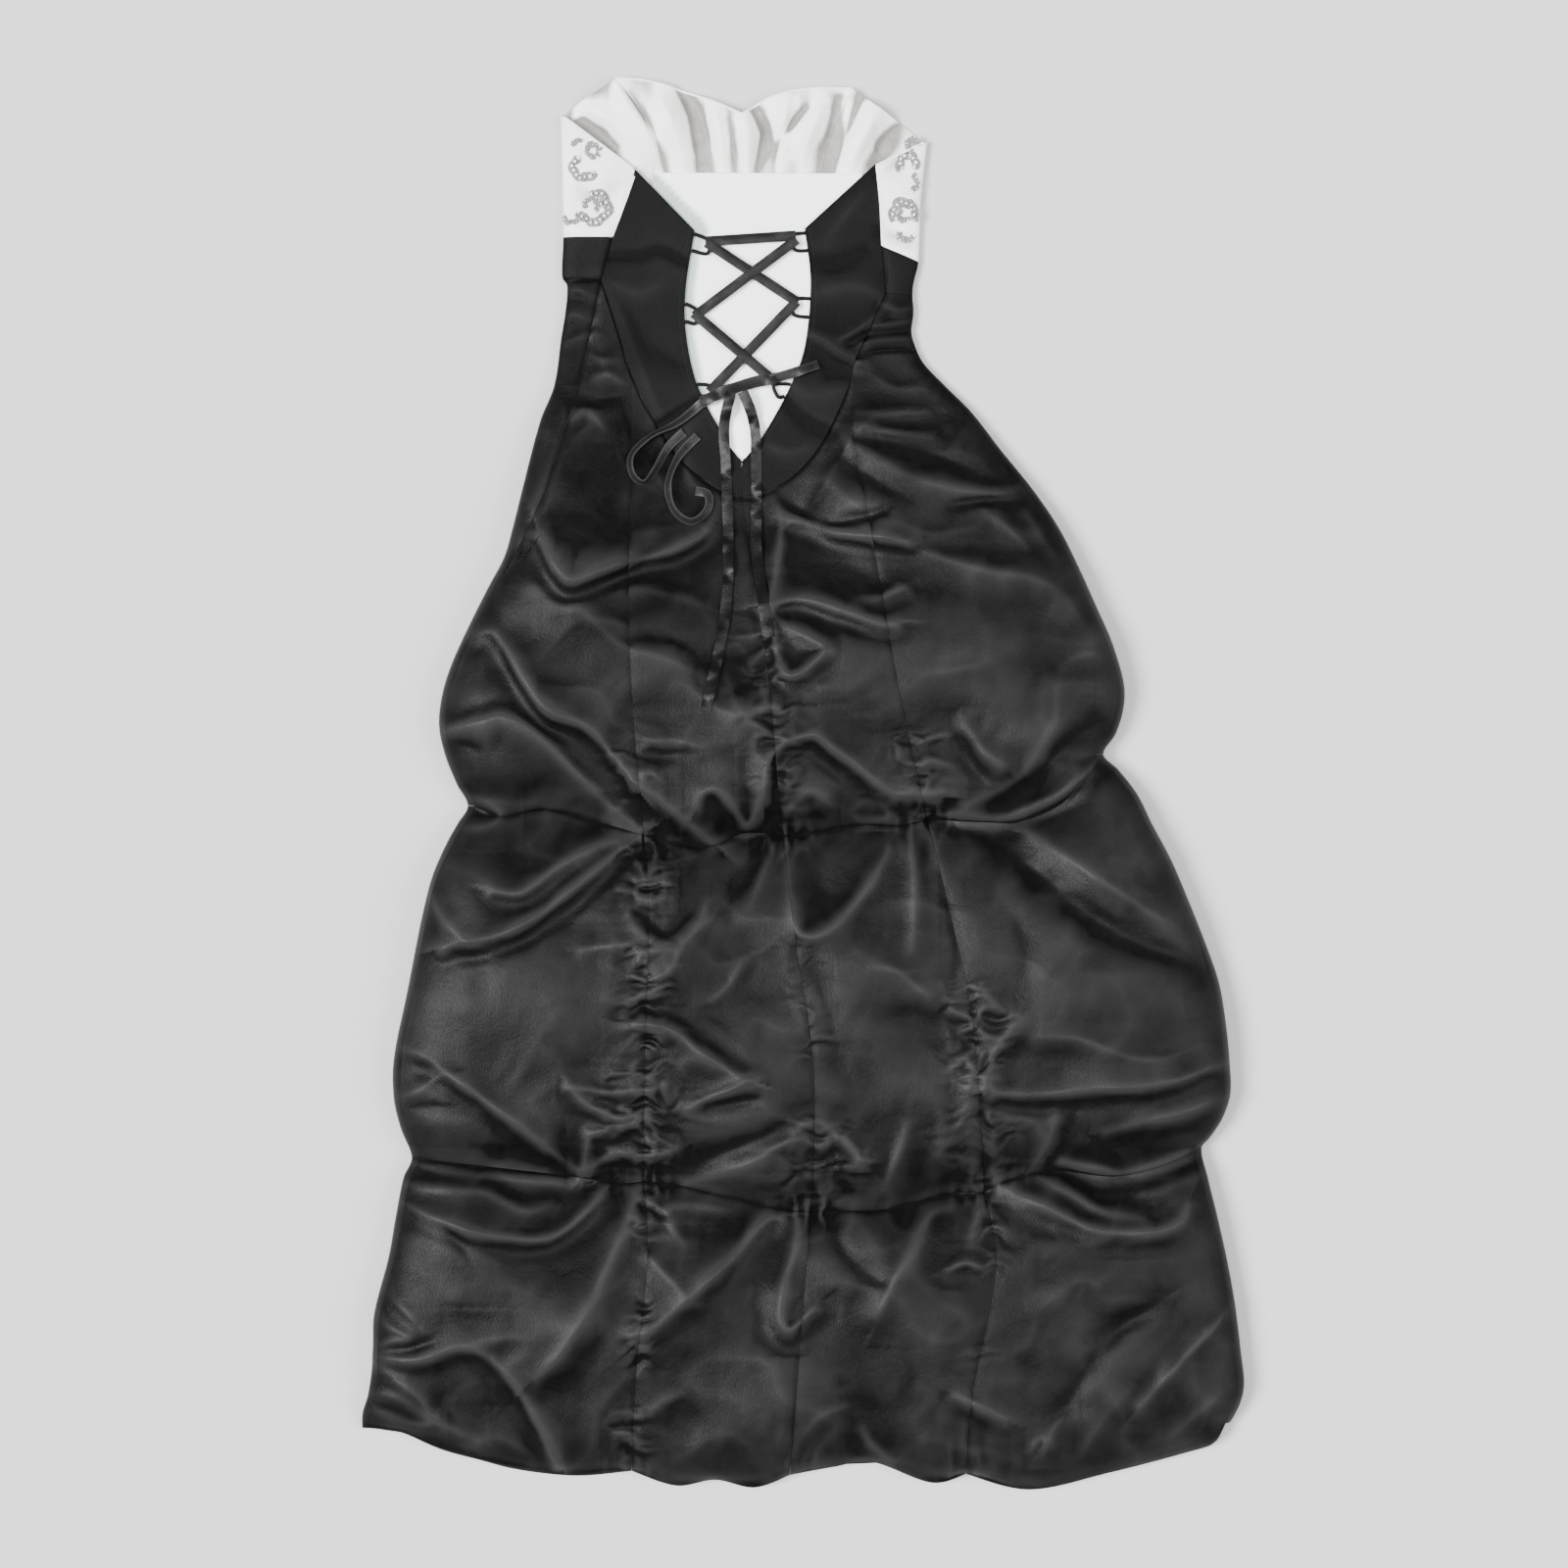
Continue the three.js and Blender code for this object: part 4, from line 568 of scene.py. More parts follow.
def fold_relief(folds, right, down, narrowest=0):
    """The height that the folds add at each point."""
    total = np.zeros(np.shape(right))
    for fold in folds:
        line = spline(fold.line, 6)
        reach = 3.4 * max(fold.left, fold.right)
        low, high = line.min(axis=0) - reach, line.max(axis=0) + reach
        near = (right > low[0]) & (right < high[0]) & (down > low[1]) & (down < high[1])
        if not near.any():
            continue
        x, y = right[near], down[near]
        best = np.full(x.shape, 1e9)
        side = np.zeros(x.shape)
        share = np.zeros(x.shape)
        steps = np.diff(line, axis=0)
        lengths = np.linalg.norm(steps, axis=1)
        starts = np.concatenate([[0], np.cumsum(lengths)])
        for (px, py), (dx, dy), size, start in zip(line, steps, lengths, starts):
            t = np.clip(((x - px) * dx + (y - py) * dy) / size**2, 0, 1)
            gx, gy = x - px - t * dx, y - py - t * dy
            far = np.hypot(gx, gy)
            closer = far < best
            best = np.where(closer, far, best)
            side = np.where(closer, dx * gy - dy * gx, side)
            share = np.where(closer, (start + t * size) / starts[-1], share)
        wide = np.maximum(np.where(side > 0, fold.right, fold.left), narrowest)
        if fold.high > 0:
            shape = np.exp(-(np.hypot(best, CREST) - CREST) / (CREST_WIDTH * wide))
        else:
            shape = np.exp(-((best / (TROUGH_WIDTH * wide)) ** 1.5))
        beside = (side > 0) if fold.valley > 0 else (side < 0)
        valley = VALLEY_SHARE * np.exp(-(((best - 2.4 * wide) / (1.5 * wide)) ** 2)) * beside
        taper = 0.3 + 0.7 * np.sin(np.pi * (0.06 + 0.88 * share)) ** 0.6
        taper = taper * (0.85 + 0.3 * noise(x, y, 30, 30, 5))
        total[near] += fold.high * taper * (shape - abs(fold.valley) * valley)
    return total


def ruche_relief(right, down):
    """Short uneven cross folds on both sides of a drawn-up seam."""
    total = np.zeros(np.shape(right))
    for number, (tier, seam, start, end, high, reach) in enumerate(RUCHES):
        aside = right - smooth([(d, r) for r, d in GORES[tier][seam]], down)
        near = (np.abs(aside) < 2.5 * reach) & (down > start) & (down < end)
        away = aside[near]
        away = away + 8 * noise(right[near], down[near], 17, 17, 50 + number)
        run = down[near] + 11 * noise(right[near], down[near], 22, 19, 60 + number)
        ridges = creases(away, run, 34, 15, 20 + number) + 0.45 * creases(away, run, 16, 8, 30 + number)
        ends = np.clip((down[near] - start) / 12, 0, 1) * np.clip((end - down[near]) / 12, 0, 1)
        total[near] += 0.55 * high * ridges * ends * np.exp(-((np.abs(away) / reach) ** 1.6))
    return total


def gather_relief(right, down):
    """Uneven gathers that run out of the tiers' seams, strongest where the gores meet."""
    total = np.zeros(np.shape(right))
    for number, (tier, (high, above, below)) in enumerate(GATHERS.items()):
        off = down - smooth(SEAMS[tier], right)
        corners = {"upper": UPPER_SEAM, "middle": LOWER_SEAM, "lower": HEM}[tier]
        meetings = [corners[key][0][0] for key in ("left", "right", "side_right")]
        strong = sum(np.exp(-(((right - meeting) / 26) ** 2)) for meeting in meetings)
        fade = np.exp(-((np.abs(off) / np.where(off < 0, above, below)) ** 1.4))
        ridges = creases(right + 4 * noise(right, down, 12, 12, 45), off, 13, 34, 40 + number)
        total += high * ridges * 0.8 * strong * fade
    return total


def swell(right, down):
    """The gentle unevenness of filled satin."""
    broad = 1.5 * np.sin(right / 37 + down / 61) + 1.2 * np.sin(right / 29 - down / 43 + 1)
    bent = right + 14 * noise(right, down, 40, 40, 9)
    fine = 1.3 * noise(bent, down, 38, 30, 7) + 0.45 * noise(bent + down / 2, down - right / 2, 14, 24, 8)
    ridges = 0.9 * creases(bent, down + 10 * noise(right, down, 50, 50, 12), 74, 56, 11)
    return broad + 5.5 * noise(bent, down, 96, 84, 10) + 0.6 * fine + ridges


def groove_down(line, right, down, depth, half_width, sharpness):
    """A groove along a line that runs down the back."""
    rows = [(d, r) for r, d in line]
    inside = (down >= rows[0][0]) & (down <= rows[-1][0])
    off = np.abs(right - smooth(rows, down)) / half_width
    return np.where(inside, depth * np.exp(-(off**sharpness)), 0)


def seam_dip(right, down):
    """A shallow groove along the gores' seams."""
    total = np.zeros(np.shape(right))
    for seams in GORES.values():
        for line in seams.values():
            total -= groove_down(line, right, down, *GORE_GROOVE, 1.3)
    return total


def joining_dip(right, down):
    """A groove where the tiers are joined and along the side seams, where they show on the back."""
    total = np.zeros(np.shape(right))
    depth, half_width = TIER_GROOVE
    for seam in ("top", "upper", "middle"):
        total -= depth * np.exp(-((np.abs(down - smooth(SEAMS[seam], right)) / half_width) ** 1.5))
    for line in SIDE_SEAMS:
        total -= groove_down(line, right, down, *SIDE_GROOVE, 1.5)
    return total


def back_surface(right, down):
    """Points of the back's outer face, the way they face, and their relief, in layout millimetres."""
    right, down = np.broadcast_arrays(np.asarray(right, float), np.asarray(down, float))
    level = level_at(right, down)
    from_left = np.maximum(right - left_edge(down), 0)
    from_right = np.maximum(right_edge(down) - right, 0)
    side = np.where(from_left < from_right, -1, 1)
    middle = fold_middle(level)
    rise = level - middle
    reach = level * BACK_ROLL
    cosine = 1 - np.clip(np.minimum(from_left, from_right) / reach, 0, 1)
    sine = np.sqrt(1 - cosine**2)
    size = np.hypot(rise * cosine, reach * sine)
    face_x, face_z = side * rise * cosine / size, reach * sine / size
    skirt = np.clip((level - BODICE_LEVEL) / FOLDS_FULL_ABOVE, 0, 1)
    relief = FOLD_HEIGHT * fold_relief(FOLDS, right, down, NARROWEST) + ruche_relief(right, down)
    relief = relief + gather_relief(right, down)
    relief = (relief + swell(right, down) + seam_dip(right, down)) * sine * skirt
    relief = relief + fold_relief(BODICE_FOLDS, right, down) * sine * (1 - skirt)
    relief = relief + joining_dip(right, down) * sine
    points = np.stack([right + relief * face_x, down, middle + rise * sine + relief * face_z], axis=-1)
    return points, np.stack([face_x, np.zeros_like(face_x), face_z], axis=-1), relief


def hollows(relief, reach):
    """How far each point of a grid stands above the cloth around it, in millimetres."""
    blurred = relief
    for _ in range(round(3 * (reach / CELL) ** 2)):
        padded = np.pad(blurred, 1, mode="edge")
        beside = padded[:-2, 1:-1] + padded[2:, 1:-1] + padded[1:-1, :-2] + padded[1:-1, 2:]
        blurred = (2 * blurred + beside) / 6
    return relief - blurred


def front_lift(right, down):
    """How far the front is lifted off the floor at the bust."""
    lift = smooth(BUST_LIFT, down)
    inset = np.minimum(right - left_edge(down), right_edge(down) - right)
    ramp = np.clip(inset / BUST_RAMP, 0, 1)
    ramp = ramp**2 * (3 - 2 * ramp)
    flutes = FLUTE_HEIGHT * fold_relief(FLUTES, right, down) + 0.8 * creases(right, down, 26, 34, 14)
    flutes = flutes * np.clip(lift / BUST_FULL + 0.4, 0, 1) * (lift > 0)
    edge = np.clip(inset / 14, 0, 1)
    return np.maximum(ramp * lift + edge * flutes, 0)


def front_surface(right, down, side, share):
    """The same three of the front's outer, lower face, at a share of the way round its rolled edge."""
    right, down, share = np.broadcast_arrays(*(np.asarray(part, float) for part in (right, down, share)))
    edge = left_edge(down) if side < 0 else right_edge(down)
    middle = fold_middle(level_at(edge, down))
    reach = middle * FRONT_ROLL
    angle = share * math.pi / 2
    size = np.hypot(middle * np.cos(angle), reach * np.sin(angle))
    face_x, face_z = side * middle * np.cos(angle) / size, -reach * np.sin(angle) / size
    x = np.where(share < 1, edge - side * reach * (1 - np.cos(angle)), right)
    lift = front_lift(x, down)
    z = middle * (1 - np.sin(angle)) + lift
    return np.stack([x, down, z], axis=-1), np.stack([face_x, np.zeros_like(face_x), face_z], axis=-1), lift


# The route of the ribbon's ends and bow: name, width, points over the layout
RIBBON_CLOTH = 0.7
RIBBON_LIFT = 0.5
LACING_TOP = 15.0
BOW = [
    ("bow_knot", 12, [(716, 412), (734, 403), (752, 397), (772, 391), (792, 387)]),
    ("bow_end_right", 10, [(786, 389), (812, 381), (835, 373)]),
    ("bow_loop_upper", 9, [(718, 411), (692, 432), (664, 446), (645, 466), (646, 486), (658, 495),
         (669, 482), (682, 458), (698, 442)]),
    ("bow_loop_lower", 9, [(712, 446), (692, 468), (682, 496), (688, 522), (706, 534), (722, 522),
         (723, 506), (710, 502)]),
    ("bow_tail_left", 11, [(746, 402), (739, 436), (741, 480), (743, 540), (743, 600), (737, 650),
         (729, 690), (721, 726)]),
    ("bow_tail_right", 11, [(758, 401), (770, 436), (772, 500), (772, 560), (778, 610), (784, 652)]),
]
# How far the loops stand on edge, in degrees, and how much each ribbon is rumpled
LEANS = {"bow_loop_upper": -52, "bow_loop_lower": -44}
RUMPLES = {"bow_tail_left": 0.42, "bow_tail_right": 0.4, "bow_end_right": 0.5, "bow_knot": 0.6}
# How much lighter each ribbon is painted towards its edges: a painted highlight
EDGE_HIGHLIGHTS = {"bow_loop_upper": 1.3, "bow_loop_lower": 1.2, "bow_end_right": 0.6, "bow_knot": 0.4}
LACING_WIDTH = 10.4
LACING = [
    ("lacing_top", (720, 248), (812, 242), (13.4, 13.4, 13.4)),
    ("lacing_cross_1", (721, 249), (814, 310), (15, 13.4, 13.4)),
    ("lacing_cross_2", (813, 246), (709, 324), (15, 15, 13.4)),
    ("lacing_cross_3", (708, 321), (792, 392), (15, 15, 15)),
    ("lacing_cross_4", (813, 309), (724, 401), (15, 13.4, 13.4)),
]
NECK_EDGES = {"left": [(648, 175), (708, 237)], "right": [(822, 235), (893, 170)]}
LACING_EDGE = {
    "left": [(708, 237), (699, 295), (699, 340), (710, 392), (734, 440), (744, 457), (752, 467),
         (756.6, 473), (757, 508)],
    "right": [(822, 235), (828, 290), (822, 355), (805, 400), (780, 445), (770, 458), (763, 467),
         (757.4, 473), (757, 508)],
}


def cloth_top(right, down):
    """Height of what a ribbon lies on: the skirt, the bodice, or the lacing over its opening."""
    points, _, _ = back_surface(right, down)
    height = points[..., 2]
    left = smooth([(d, r) for r, d in LACING_EDGE["left"]], down)
    far = smooth([(d, r) for r, d in LACING_EDGE["right"]], down)
    over_opening = (right > left) & (right < far) & (down < 420)
    return np.where(over_opening, LACING_TOP + 1.2, height)


def resting_line(points, width):
    """The points of a ribbon's middle line where it lies on the dress."""
    cells = max(int(length_of(points) / 4), 8)
    line = evenly(points, cells)
    around = [(0, 0), (width / 2, 0), (-width / 2, 0), (0, width / 2), (0, -width / 2)]
    heights = np.max([cloth_top(line[:, 0] + x, line[:, 1] + y) for x, y in around], axis=0)
    for _ in range(4):
        padded = np.pad(heights, 1, mode="edge")
        heights = np.maximum(heights, (padded[:-2] + padded[1:-1] + padded[2:]) / 3)
    return np.column_stack([line, heights + RIBBON_LIFT])


def mesh_object(name, vertices, faces, material, rim=()):
    """A smooth-shaded mesh; the edges between two vertices of the rim stay crisp."""
    mesh = bpy.data.meshes.new(name)
    mesh.from_pydata(vertices.tolist(), [], faces.tolist())
    mesh.materials.append(material)
    mesh.polygons.foreach_set("use_smooth", [True] * len(mesh.polygons))
    if len(rim):
        on_rim = np.zeros(len(vertices), bool)
        on_rim[rim] = True
        ends = np.empty(len(mesh.edges) * 2, int)
        mesh.edges.foreach_get("vertices", ends)
        mesh.edges.foreach_set("use_edge_sharp", on_rim[ends.reshape(-1, 2)].all(axis=1))
    mesh.update()
    return linked(name, mesh)


def wall_object(name, outer, inner, material):
    """A closed wall of cloth between two grids of layout points."""
    rows, columns = outer.shape[:2]
    count = rows * columns
    vertices = np.vstack([placed(*grid.reshape(-1, 3).T) for grid in (outer, inner)])
    index = np.arange(count).reshape(rows, columns)
    a, b, c, d = index[:-1, :-1], index[:-1, 1:], index[1:, 1:], index[1:, :-1]
    sheets = [
        np.stack([a, b, c, d], axis=-1).reshape(-1, 4),
        np.stack([a, d, c, b], axis=-1).reshape(-1, 4) + count,
    ]
    rim = np.concatenate([index[0, :], index[1:, -1], index[-1, -2::-1], index[-2:0:-1, 0]])
    after = np.roll(rim, -1)
    sheets.append(np.stack([rim, rim + count, after + count, after], axis=-1))
    faces = np.vstack(sheets)
    tri = vertices[faces[:, [0, 1, 2]]], vertices[faces[:, [0, 2, 3]]]
    volume = sum(np.einsum("ij,ij->", t[:, 0], np.cross(t[:, 1], t[:, 2])) for t in tri)
    if volume < 0:
        faces = faces[:, ::-1]
    return mesh_object(name, vertices, faces, material, np.concatenate([rim, rim + count]))


def inset(grid):
    """Moves a grid's border a little inwards, so that neighbours stay apart."""
    grid = grid.copy()
    for axis in (1, 0):
        lines = np.moveaxis(grid, axis, 0)
        for edge, towards in ((0, 1), (-1, -2)):
            way = lines[towards] - lines[edge]
            size = np.linalg.norm(way[..., :3], axis=-1, keepdims=True)
            lines[edge] += way * (SEAM_GAP / np.maximum(size, SEAM_GAP))
    return grid


def waist_shade(points):
    """Painted shade on the satin: darker towards the waist, down to the waist line, and in its patches of painted
    shade.
    """
    right, down = points[..., 0], points[..., 1]
    end = np.interp(right, *zip(*WAIST_LINE))
    shade = -WAIST_SHADE * np.clip((end - down) / WAIST_FADE, 0, 1)
    for patch_right, patch_down, wide, long, strong in PAINTED_SHADE_PATCHES:
        across, along = (right - patch_right) / wide, (down - patch_down) / long
        shade = shade - strong * np.exp(-(across**2) - along**2)
    return shade


# Stores the painted shade and highlight of a mesh's points
def set_painted_light(piece, values):
    piece.data.attributes.new("painted_light", "FLOAT", "POINT").data.foreach_set("value", values)


def cloth_piece(name, points, faces, material, relief=None, reach=HOLLOW_REACH, shade=0.0):
    """A wall of cloth; a point attribute holds its painted shade and highlight: how far each point stands out of
    its surroundings, plus the painted shade that is given.
    """
    both = inset(np.concatenate([points, points - CLOTH * faces], axis=-1))
    piece = wall_object(name, both[..., :3], both[..., 3:], material)
    if relief is None:
        relief = np.zeros(points.shape[:2])
    painted_light = hollows(relief, reach) + CREST_SHARE * hollows(relief, CREST_REACH)
    painted_light = painted_light + BROAD_SHARE * hollows(relief, BROAD_REACH) + shade
    set_painted_light(piece, np.concatenate([painted_light.ravel(), painted_light.ravel()]))
    return piece


def patch(top, foot, left, right):
    """Layout points spread evenly between four edges."""
    u = np.linspace(0, 1, len(top))[None, :, None]
    v = np.linspace(0, 1, len(left))[:, None, None]
    across = (1 - v) * top[None] + v * foot[None]
    along = (1 - u) * left[:, None] + u * right[:, None]
    top_line, foot_line = ((1 - u) * edge[0] + u * edge[-1] for edge in (top, foot))
    return across + along - ((1 - v) * top_line + v * foot_line)


# Shader groups
def new_group(name, inputs, outputs):
    group = bpy.data.node_groups.new(name, "ShaderNodeTree")
    for label, kind, value in inputs:
        socket = group.interface.new_socket(label, in_out="INPUT", socket_type=kind)
        socket.default_value = value
    for label, kind in outputs:
        group.interface.new_socket(label, in_out="OUTPUT", socket_type=kind)
    return group, group.nodes.new("NodeGroupInput"), group.nodes.new("NodeGroupOutput")


def feed(tree, node, inputs):
    """Sets a node's sockets to values, or links them to the sockets that are given."""
    for key, value in inputs.items():
        if isinstance(value, bpy.types.NodeSocket):
            tree.links.new(value, node.inputs[key])
        else:
            node.inputs[key].default_value = value


def add_node(tree, kind, inputs=None, **settings):
    node = tree.nodes.new(kind)
    for key, value in settings.items():
        setattr(node, key, value)
    feed(tree, node, inputs or {})
    return node


def satin_weave_group():
    """Fine satin floats and soft handling wrinkles, as a height, and the wrinkles alone as a mask for a painted
    sheen on their raised parts and for uneven gloss.
    """
    group, source, sink = new_group(
        "satin_weave",
        [
            ("Thread Size", "NodeSocketFloat", 0.0009), ("Float Length", "NodeSocketFloat", 5.0),
            ("Wrinkle Size", "NodeSocketFloat", 0.022), ("Wrinkle Share", "NodeSocketFloat", 0.5),
        ],
        [("Height", "NodeSocketFloat"), ("Mask", "NodeSocketFloat")],
    )
    given = source.outputs

    def one_over(label):
        return add_node(group, "ShaderNodeMath", {0: 1.0, 1: given[label]}, operation="DIVIDE").outputs[0]

    place = add_node(group, "ShaderNodeTexCoord").outputs["Object"]
    stretch = add_node(group, "ShaderNodeCombineXYZ", {0: 1.0, 1: one_over("Float Length"), 2: 1.0})
    along = add_node(group, "ShaderNodeVectorMath", {0: place, 1: stretch.outputs[0]}, operation="MULTIPLY")
    threads = add_node(group, "ShaderNodeTexNoise", {
        "Vector": along.outputs[0], "Scale": one_over("Thread Size"), "Detail": 1.0,
    })
    wrinkles = add_node(group, "ShaderNodeTexNoise", {
        "Vector": place, "Scale": one_over("Wrinkle Size"),
        "Detail": 6.0, "Roughness": 0.66, "Distortion": 0.6,
    })
    both = {0: given["Wrinkle Share"], 2: threads.outputs[0], 3: wrinkles.outputs[0]}
    height = add_node(group, "ShaderNodeMix", both, data_type="FLOAT")
    feed(group, sink, {"Height": height.outputs[0], "Mask": wrinkles.outputs[0]})
    return group


WEAVE = satin_weave_group()
# Share of painted sheen on the wrinkles' raised parts
WRINKLE_SHEEN = 0.3
GLOSS_BELOW, GLOSS_ABOVE = 0.06, 0.08

# A cloth: its colour on crests, a painted highlight, and in hollows, a painted shade, its roughness, the height
# of its weave and the sizes of its threads and wrinkles in metres, the wrinkles' share of that height, its
# specular level, and the values of painted shade and highlight at which it is darkest and lightest
Cloth = namedtuple(
    "Cloth", "name light dark rough bump thread wrinkle share specular hollow crest",
    defaults=(0.22, -1.2, 2.0),
)


def new_material(name):
    material = bpy.data.materials.new(name)
    material.use_nodes = True
    return material, material.node_tree, material.node_tree.nodes["Principled BSDF"]


def cloth_material(cloth):
    """Woven cloth: painted shade in its hollows and painted highlight on its crests, painted sheen on its raised
    wrinkles, with a woven height and uneven gloss.
    """
    material, tree, shader = new_material(cloth.name)
    sizes = {"Thread Size": cloth.thread, "Wrinkle Size": cloth.wrinkle, "Wrinkle Share": cloth.share}
    weave = add_node(tree, "ShaderNodeGroup", node_tree=WEAVE)
    feed(tree, weave, sizes)
    mask, height = weave.outputs["Mask"], weave.outputs["Height"]
    # Painted shade and highlight, read from the mesh's attribute
    painted_light = add_node(tree, "ShaderNodeAttribute", attribute_name="painted_light")
    stands = add_node(tree, "ShaderNodeMapRange", {
        "Value": painted_light.outputs["Fac"], "From Min": cloth.hollow, "From Max": cloth.crest,
    })
    # Painted sheen: the cloth is painted lighter where its wrinkles rise
    painted_sheen = add_node(
        tree, "ShaderNodeMath", {0: mask, 1: WRINKLE_SHEEN, 2: stands.outputs[0]},
        operation="MULTIPLY_ADD", use_clamp=True,
    )
    tones = {0: painted_sheen.outputs[0], 6: (*cloth.dark, 1), 7: (*cloth.light, 1)}
    gloss = {"Value": mask, "To Min": cloth.rough - GLOSS_BELOW, "To Max": cloth.rough + GLOSS_ABOVE}
    raised = add_node(tree, "ShaderNodeBump", {"Height": height, "Strength": 1.0, "Distance": cloth.bump})
    feed(tree, shader, {
        "Base Color": add_node(tree, "ShaderNodeMix", tones, data_type="RGBA").outputs[2],
        "Roughness": add_node(tree, "ShaderNodeMapRange", gloss).outputs[0],
        "Normal": raised.outputs[0],
        "Specular IOR Level": cloth.specular,
    })
    return material


def grey(level):
    return (level, level, level)


# Black cloths: the light colour is painted highlight on crests, the dark colour painted shade in hollows
BLACK_SATIN, BODICE_BLACK, RIBBON_SATIN, RIBBON_EDGE_HIGHLIGHT, CORD_BLACK = [cloth_material(Cloth(*row)) for row in [
    ("black_satin", (0.0185, 0.0185, 0.0188), grey(0.0001), 0.37, 0.0009, 0.0008, 0.022, 0.7, 0.06, -1.0, 3.4),
    ("bodice_black_satin", (0.0075, 0.0075, 0.0077), grey(0.0001),
     0.46, 0.0008, 0.0007, 0.02, 0.6, 0.04, -0.9, 1.9),
    ("black_ribbon", (0.006, 0.006, 0.0062), grey(0.0005), 0.32, 0.0007, 0.0006, 0.009, 0.7, 0.13),
    # Ribbon with a painted highlight along its edges
    ("black_ribbon_edge_highlight", (0.045, 0.045, 0.046), grey(0.0005),
     0.32, 0.0007, 0.0006, 0.009, 0.7, 0.13, -0.1, 2),
    ("black_rouleau", (0.004, 0.004, 0.0042), grey(0.001), 0.45, 0.0003, 0.0006, 0.006, 0.4, 0.1),
]]
# White cloths: the light colour is painted highlight on crests, the dark colour painted shade in hollows
WHITE_SATIN, PANEL_WHITE, THREAD_WHITE, THREAD_BLACK, SILVER_THREAD = [cloth_material(Cloth(*row)) for row in [
    ("white_satin", (0.9, 0.89, 0.875), (0.09, 0.085, 0.078),
     0.4, 0.0009, 0.0008, 0.018, 0.75, 0.22, -2.8, 0.8),
    # The panel's dark colour is its painted shadow
    ("white_panel", (0.93, 0.96, 0.96), (0.12, 0.19, 0.18), 0.65, 0.0002, 0.0008, 0.03, 0.4, 0.22, -1, 0),
    ("white_thread", (0.82, 0.82, 0.8), (0.7, 0.7, 0.69), 0.6, 0.0001, 0.0003, 0.004, 0.5),
    ("black_thread", grey(0.02), grey(0.008), 0.6, 0.0001, 0.0003, 0.004, 0.5),
    ("silver_thread", (0.4, 0.4, 0.39), grey(0.05), 0.4, 0.0012, 0.0008, 0.0035, 0.8, 0.22, -0.3, 1.4),
]]
FACETS_PER_METRE = 420


def stone_material(name, light, dark, rough, metallic):
    """Cut stones and metal-lined beads, their facets painted light and dark at random: a painted reflection."""
    material, tree, shader = new_material(name)
    place = add_node(tree, "ShaderNodeTexCoord").outputs["Object"]
    facets = add_node(tree, "ShaderNodeTexVoronoi", {"Vector": place, "Scale": FACETS_PER_METRE})
    tones = {0: facets.outputs["Color"], 6: (*dark, 1), 7: (*light, 1)}
    feed(tree, shader, {
        "Base Color": add_node(tree, "ShaderNodeMix", tones, data_type="RGBA").outputs[2],
        "Roughness": rough, "Metallic": metallic, "Specular IOR Level": 0.8,
    })
    return material


# Silver beads and clear stones with painted reflections on their facets
SILVER_BEAD = stone_material("silver_bead", (0.7, 0.7, 0.71), (0.05, 0.05, 0.055), 0.2, 0.9)
CLEAR_STONE = stone_material("clear_stone", (0.95, 0.95, 0.96), (0.1, 0.1, 0.11), 0.1, 0.6)


def dress(piece, node):
    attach(piece, "root")
    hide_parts(node)
    return piece


def trim(piece):
    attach(piece, "root")
    return piece


def ribbon_piece(name, line, width, material=None, crown=0.5, lean=None, rumple=0.0, seed=0, rim=0.0):
    """A satin ribbon along a line of right, down and height, tilted by its lean at each point."""
    line = np.asarray(line, float)
    run = np.gradient(line[:, :2], axis=0)
    run /= np.linalg.norm(run, axis=1, keepdims=True)
    aside = np.stack([-run[:, 1], run[:, 0]], axis=1)
    across = np.linspace(-1, 1, 7)
    angle = np.zeros(len(line)) if lean is None else np.radians(lean)
    along = np.concatenate([[0], np.cumsum(np.linalg.norm(np.diff(line[:, :2], axis=0), axis=1))])
    angle = angle + rumple * noise(along, np.zeros(len(line)), 13, 1, seed)
    cosine, sine = np.cos(angle)[:, None], np.sin(angle)[:, None]
    width = np.broadcast_to(np.asarray(width, float), len(line))[:, None]
    points = np.zeros((len(line), 7, 3))
    points[..., :2] = line[:, None, :2] + aside[:, None] * (across * cosine * width / 2)[..., None]
    tilt = (across * sine + np.abs(sine)) * width / 2
    points[..., 2] = line[:, None, 2] + RIBBON_CLOTH + crown * (1 - across**2) + tilt
    faces = np.zeros_like(points)
    faces[..., :2] = aside[:, None] * -sine[..., None]
    faces[..., 2] = cosine
    both = np.concatenate([points, points - RIBBON_CLOTH * faces], axis=-1)
    piece = wall_object(name, both[..., :3], both[..., 3:], material or RIBBON_SATIN)
    # Painted highlight along the ribbon's edges
    if rim:
        set_painted_light(piece, np.tile(rim * np.abs(across) ** 4, 2 * len(line)))
    return piece


def make_lacing():
    for name, start, end, (first, middle, last) in LACING:
        t = np.linspace(0, 1, 25)
        rising = first + (middle - first) * (t * 2) ** 2 * (3 - 4 * t)
        falling = middle + (last - middle) * (2 * t - 1) ** 2 * (5 - 4 * t)
        height = np.where(t < 0.5, rising, falling)
        right, down = (a + (b - a) * t for a, b in zip(start, end))
        line = np.column_stack([right, down, height])
        ribbon = ribbon_piece(f"ribbon_{name}", line, LACING_WIDTH, rumple=0.12, seed=90)
        piece = dress(ribbon, name)
        placed(*line.T)


